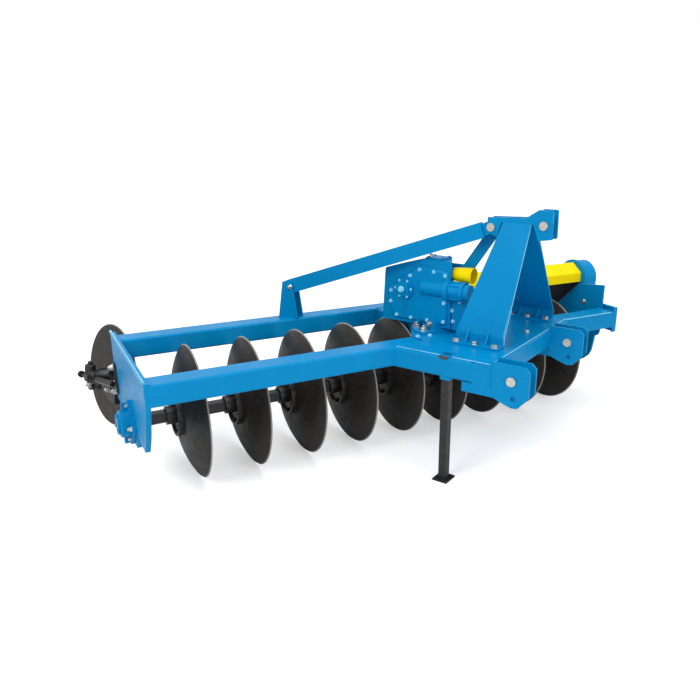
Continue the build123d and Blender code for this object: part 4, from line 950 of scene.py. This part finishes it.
CORNERS = ((-1, -1), (1, -1), (1, 1), (-1, 1))         # signs at a square's four corners
WELD_INSET = 6.0             # from a tube's edge to the end of the weld on that side
CROSS_TUBE_HALF, TUBE_WELD_HALF = 40.0, 36.0
HITCH_PLATE_HALF = 6.0
BRACE_WELD_HALF = (60.0, 31.0)         # along, across
SLEEVE_WELD_HALF = 26.0
MAST_WELD_AHEAD = (985.0, 1238.0)
HITCH_WELD = (1296.0, 545.0, 655.0)            # ahead, from and to height
EAR_WELD = (1155.0, 1286.0, 1236.0)            # from and to ahead, height
EAR_WELD_LEFTS = (975.0, 1043.0)
DECK_WELD = ((1062.0, -415.0, 645.0), (1062.0, -308.0, 645.0))


def upright_weld(along, across, radius, top=BEAM_TOP - WELD_INSET):
    """Weld up a beam's inner side."""
    return gang(along, across, BEAM_BOTTOM + WELD_INSET), gang(along, across, top), radius


def beam_top_weld(along, beam):
    """Weld over a beam's top, where it meets an end plate."""
    start, end = beam[0] + WELD_INSET, beam[1] - WELD_INSET
    return gang(along, start, BEAM_TOP), gang(along, end, BEAM_TOP), 5.0


WELDS = [                    # start, end, radius
    (*[travel(ahead, foot + out, height) for ahead in MAST_WELD_AHEAD], 5.0)
    for out, height in ((-1.0, FLANGE_TOP + 1.0), (13.0, DECK_TOP + 1.0))
    for foot in MAST_FEET
]
WELDS += [
    beam_top_weld(RIGHT_INSIDE, FRONT_BEAM),
    beam_top_weld(RIGHT_INSIDE, REAR_BEAM),
    upright_weld(RIGHT_INSIDE, FRONT_BEAM[1], 5.0),
    upright_weld(RIGHT_INSIDE, REAR_BEAM[0], 5.0),
    beam_top_weld(LEFT_INSIDE, FRONT_BEAM),
    upright_weld(LEFT_INSIDE, FRONT_BEAM[1], 5.0),
    upright_weld(LEFT_INSIDE, REAR_BEAM[0], 5.0, 556.0),       # it ends at the plate's upper edge
    (*[gang(*place) for place in DECK_WELD], 4.0),
]
INNER_SIDES = (FRONT_BEAM[1], REAR_BEAM[0])
for along in CROSS_TUBES:
    for side in (-CROSS_TUBE_HALF, CROSS_TUBE_HALF):
        WELDS += [upright_weld(along + side, across, 4.0) for across in INNER_SIDES]
    for across in INNER_SIDES:
        ends = [gang(along + way * TUBE_WELD_HALF, across, BEAM_TOP) for way in (-1, 1)]
        WELDS.append((*ends, 4.0))
for left in HITCH_LEFTS:
    for side in (-HITCH_PLATE_HALF, HITCH_PLATE_HALF):
        ends = [travel(HITCH_WELD[0], left + side, height) for height in HITCH_WELD[1:]]
        WELDS.append((*ends, 4.0))
for left in EAR_WELD_LEFTS:
    ends = [travel(ahead, left, EAR_WELD[2]) for ahead in EAR_WELD[:2]]
    WELDS.append((*ends, 4.0))
for side in (-BRACE_WELD_HALF[1], BRACE_WELD_HALF[1]):
    ends = [
        gang(BRACE_FOOT[0] + way * BRACE_WELD_HALF[0], BRACE_FOOT[1] + side, BEAM_TOP + 1.0)
        for way in (-1, 1)
    ]
    WELDS.append((*ends, 4.0))
sleeve = [
    travel(STAND[0] + SLEEVE_WELD_HALF * x, STAND[1] + SLEEVE_WELD_HALF * y, DECK_TOP + 0.5)
    for x, y in CORNERS
]
WELDS += [(start, end, 3.0) for start, end in zip(sleeve, sleeve[1:] + sleeve[:1])]
add_piece("welds", [bead(*weld) for weld in WELDS], BLUE, "frame", 60.0)

# Camera, lights and floor


def lamp(name, place, target, size, power):
    """Square area lamp that faces a target; size is in metres and power in watts."""
    data = bpy.data.lights.new(name, "AREA")
    data.shape, data.size, data.energy = "SQUARE", size, power
    light = bpy.data.objects.new(name, data)
    bpy.context.scene.collection.objects.link(light)
    light.location = Vector(place)
    way = Vector(target) - light.location
    light.rotation_mode = "QUATERNION"
    light.rotation_quaternion = way.to_track_quat("-Z", "Y")


LIT_PLACE = (900.0, 950.0)   # ahead, left
lit = travel(*LIT_PLACE, 500)
lamp("key", travel(400, -4200, 4200), lit, 2.4, 135.0)
lamp("overhead", travel(*LIT_PLACE, 5200), lit, 4.0, 110.0)
lamp("front_fill", travel(5600, -400, 2200), lit, 2.4, 60.0)

CAMERA_PLACE = (2429.3, -1972.4, 1573.0)       # ahead, left, height
CAMERA_FORWARD = Vector((-0.517, 0.805, -0.290)).normalized()
CAMERA_RIGHT = Vector((0.840, 0.543, 0.011))
LENS, SENSOR = 33.707, 36.0
SHIFT = (-0.0632, -0.00593)
camera_data = bpy.data.cameras.new("camera")
camera = bpy.data.objects.new("camera", camera_data)
bpy.context.scene.collection.objects.link(camera)
bpy.context.scene.camera = camera
camera_data.sensor_width = SENSOR
camera_data.lens = LENS
camera_data.shift_x, camera_data.shift_y = SHIFT
camera_data.clip_end = 200.0
camera.rotation_mode = "QUATERNION"
right = (CAMERA_RIGHT - CAMERA_RIGHT.dot(CAMERA_FORWARD) * CAMERA_FORWARD).normalized()
turn = Matrix((right, right.cross(CAMERA_FORWARD), -CAMERA_FORWARD)).transposed().to_4x4()
camera.matrix_world = Matrix.Translation(Vector(travel(*CAMERA_PLACE))) @ turn

FLOOR_HALF, FLOOR_TOP = 30.0, -0.001           # metres
floor_mesh = bpy.data.meshes.new("floor")
floor_corners = [(FLOOR_HALF * x, FLOOR_HALF * y, FLOOR_TOP) for x, y in CORNERS]
floor_mesh.from_pydata(floor_corners, [], [(0, 1, 2, 3)])
floor = bpy.data.objects.new("floor", floor_mesh)
bpy.context.scene.collection.objects.link(floor)

# Pale studio floor whose glow, seen by the camera only, grows with distance until it is white

GLOW = (0.45, 0.75)
GLOW_FROM, GLOW_TO = 2.0, 5.0                  # metres from the plough's middle
FLOOR, floor_shader, floor_place = start_material(
    "studio_floor", (("Roughness", 0.9), ("Specular IOR Level", 0.0), ("Emission Color", (1, 1, 1, 1)))
)
floor_distance = add_node(
    FLOOR, "ShaderNodeVectorMath", (("operation", "LENGTH"),), ((0, floor_place),)
).outputs["Value"]
floor_glow = spread(FLOOR, floor_distance, *GLOW, GLOW_FROM, GLOW_TO)
camera_ray = add_node(FLOOR, "ShaderNodeLightPath").outputs["Is Camera Ray"]
connect(
    FLOOR, floor_shader,
    Base_Color=blend_colours(FLOOR, noise(FLOOR, floor_place, 900.0), "#e9e9e9", "#eeeeee"),
    Emission_Strength=add_node(
        FLOOR, "ShaderNodeMath", (("operation", "MULTIPLY"),), ((0, camera_ray), (1, floor_glow))
    ).outputs[0],
)
floor_mesh.materials.append(FLOOR)

# White surroundings: full strength where the camera, metal or glass sees them, less as light

SURROUND_LIGHT = 0.62
world = bpy.data.worlds.new("studio")
bpy.context.scene.world = world
world.use_nodes = True
background = world.node_tree.nodes["Background"]
background.inputs["Color"].default_value = (1, 1, 1, 1)
rays = add_node(world, "ShaderNodeLightPath")
seen = rays.outputs["Is Camera Ray"]
for ray in ("Is Glossy Ray", "Is Transmission Ray"):
    seen = add_node(
        world, "ShaderNodeMath", (("operation", "MAXIMUM"),), ((0, seen), (1, rays.outputs[ray]))
    ).outputs[0]
strength = add_node(
    world, "ShaderNodeMapRange", (("To Min", SURROUND_LIGHT), ("To Max", 1.0)), (("Value", seen),)
).outputs["Result"]
world.node_tree.links.new(background.inputs["Strength"], strength)
bpy.context.scene.view_settings.view_transform = "Standard"
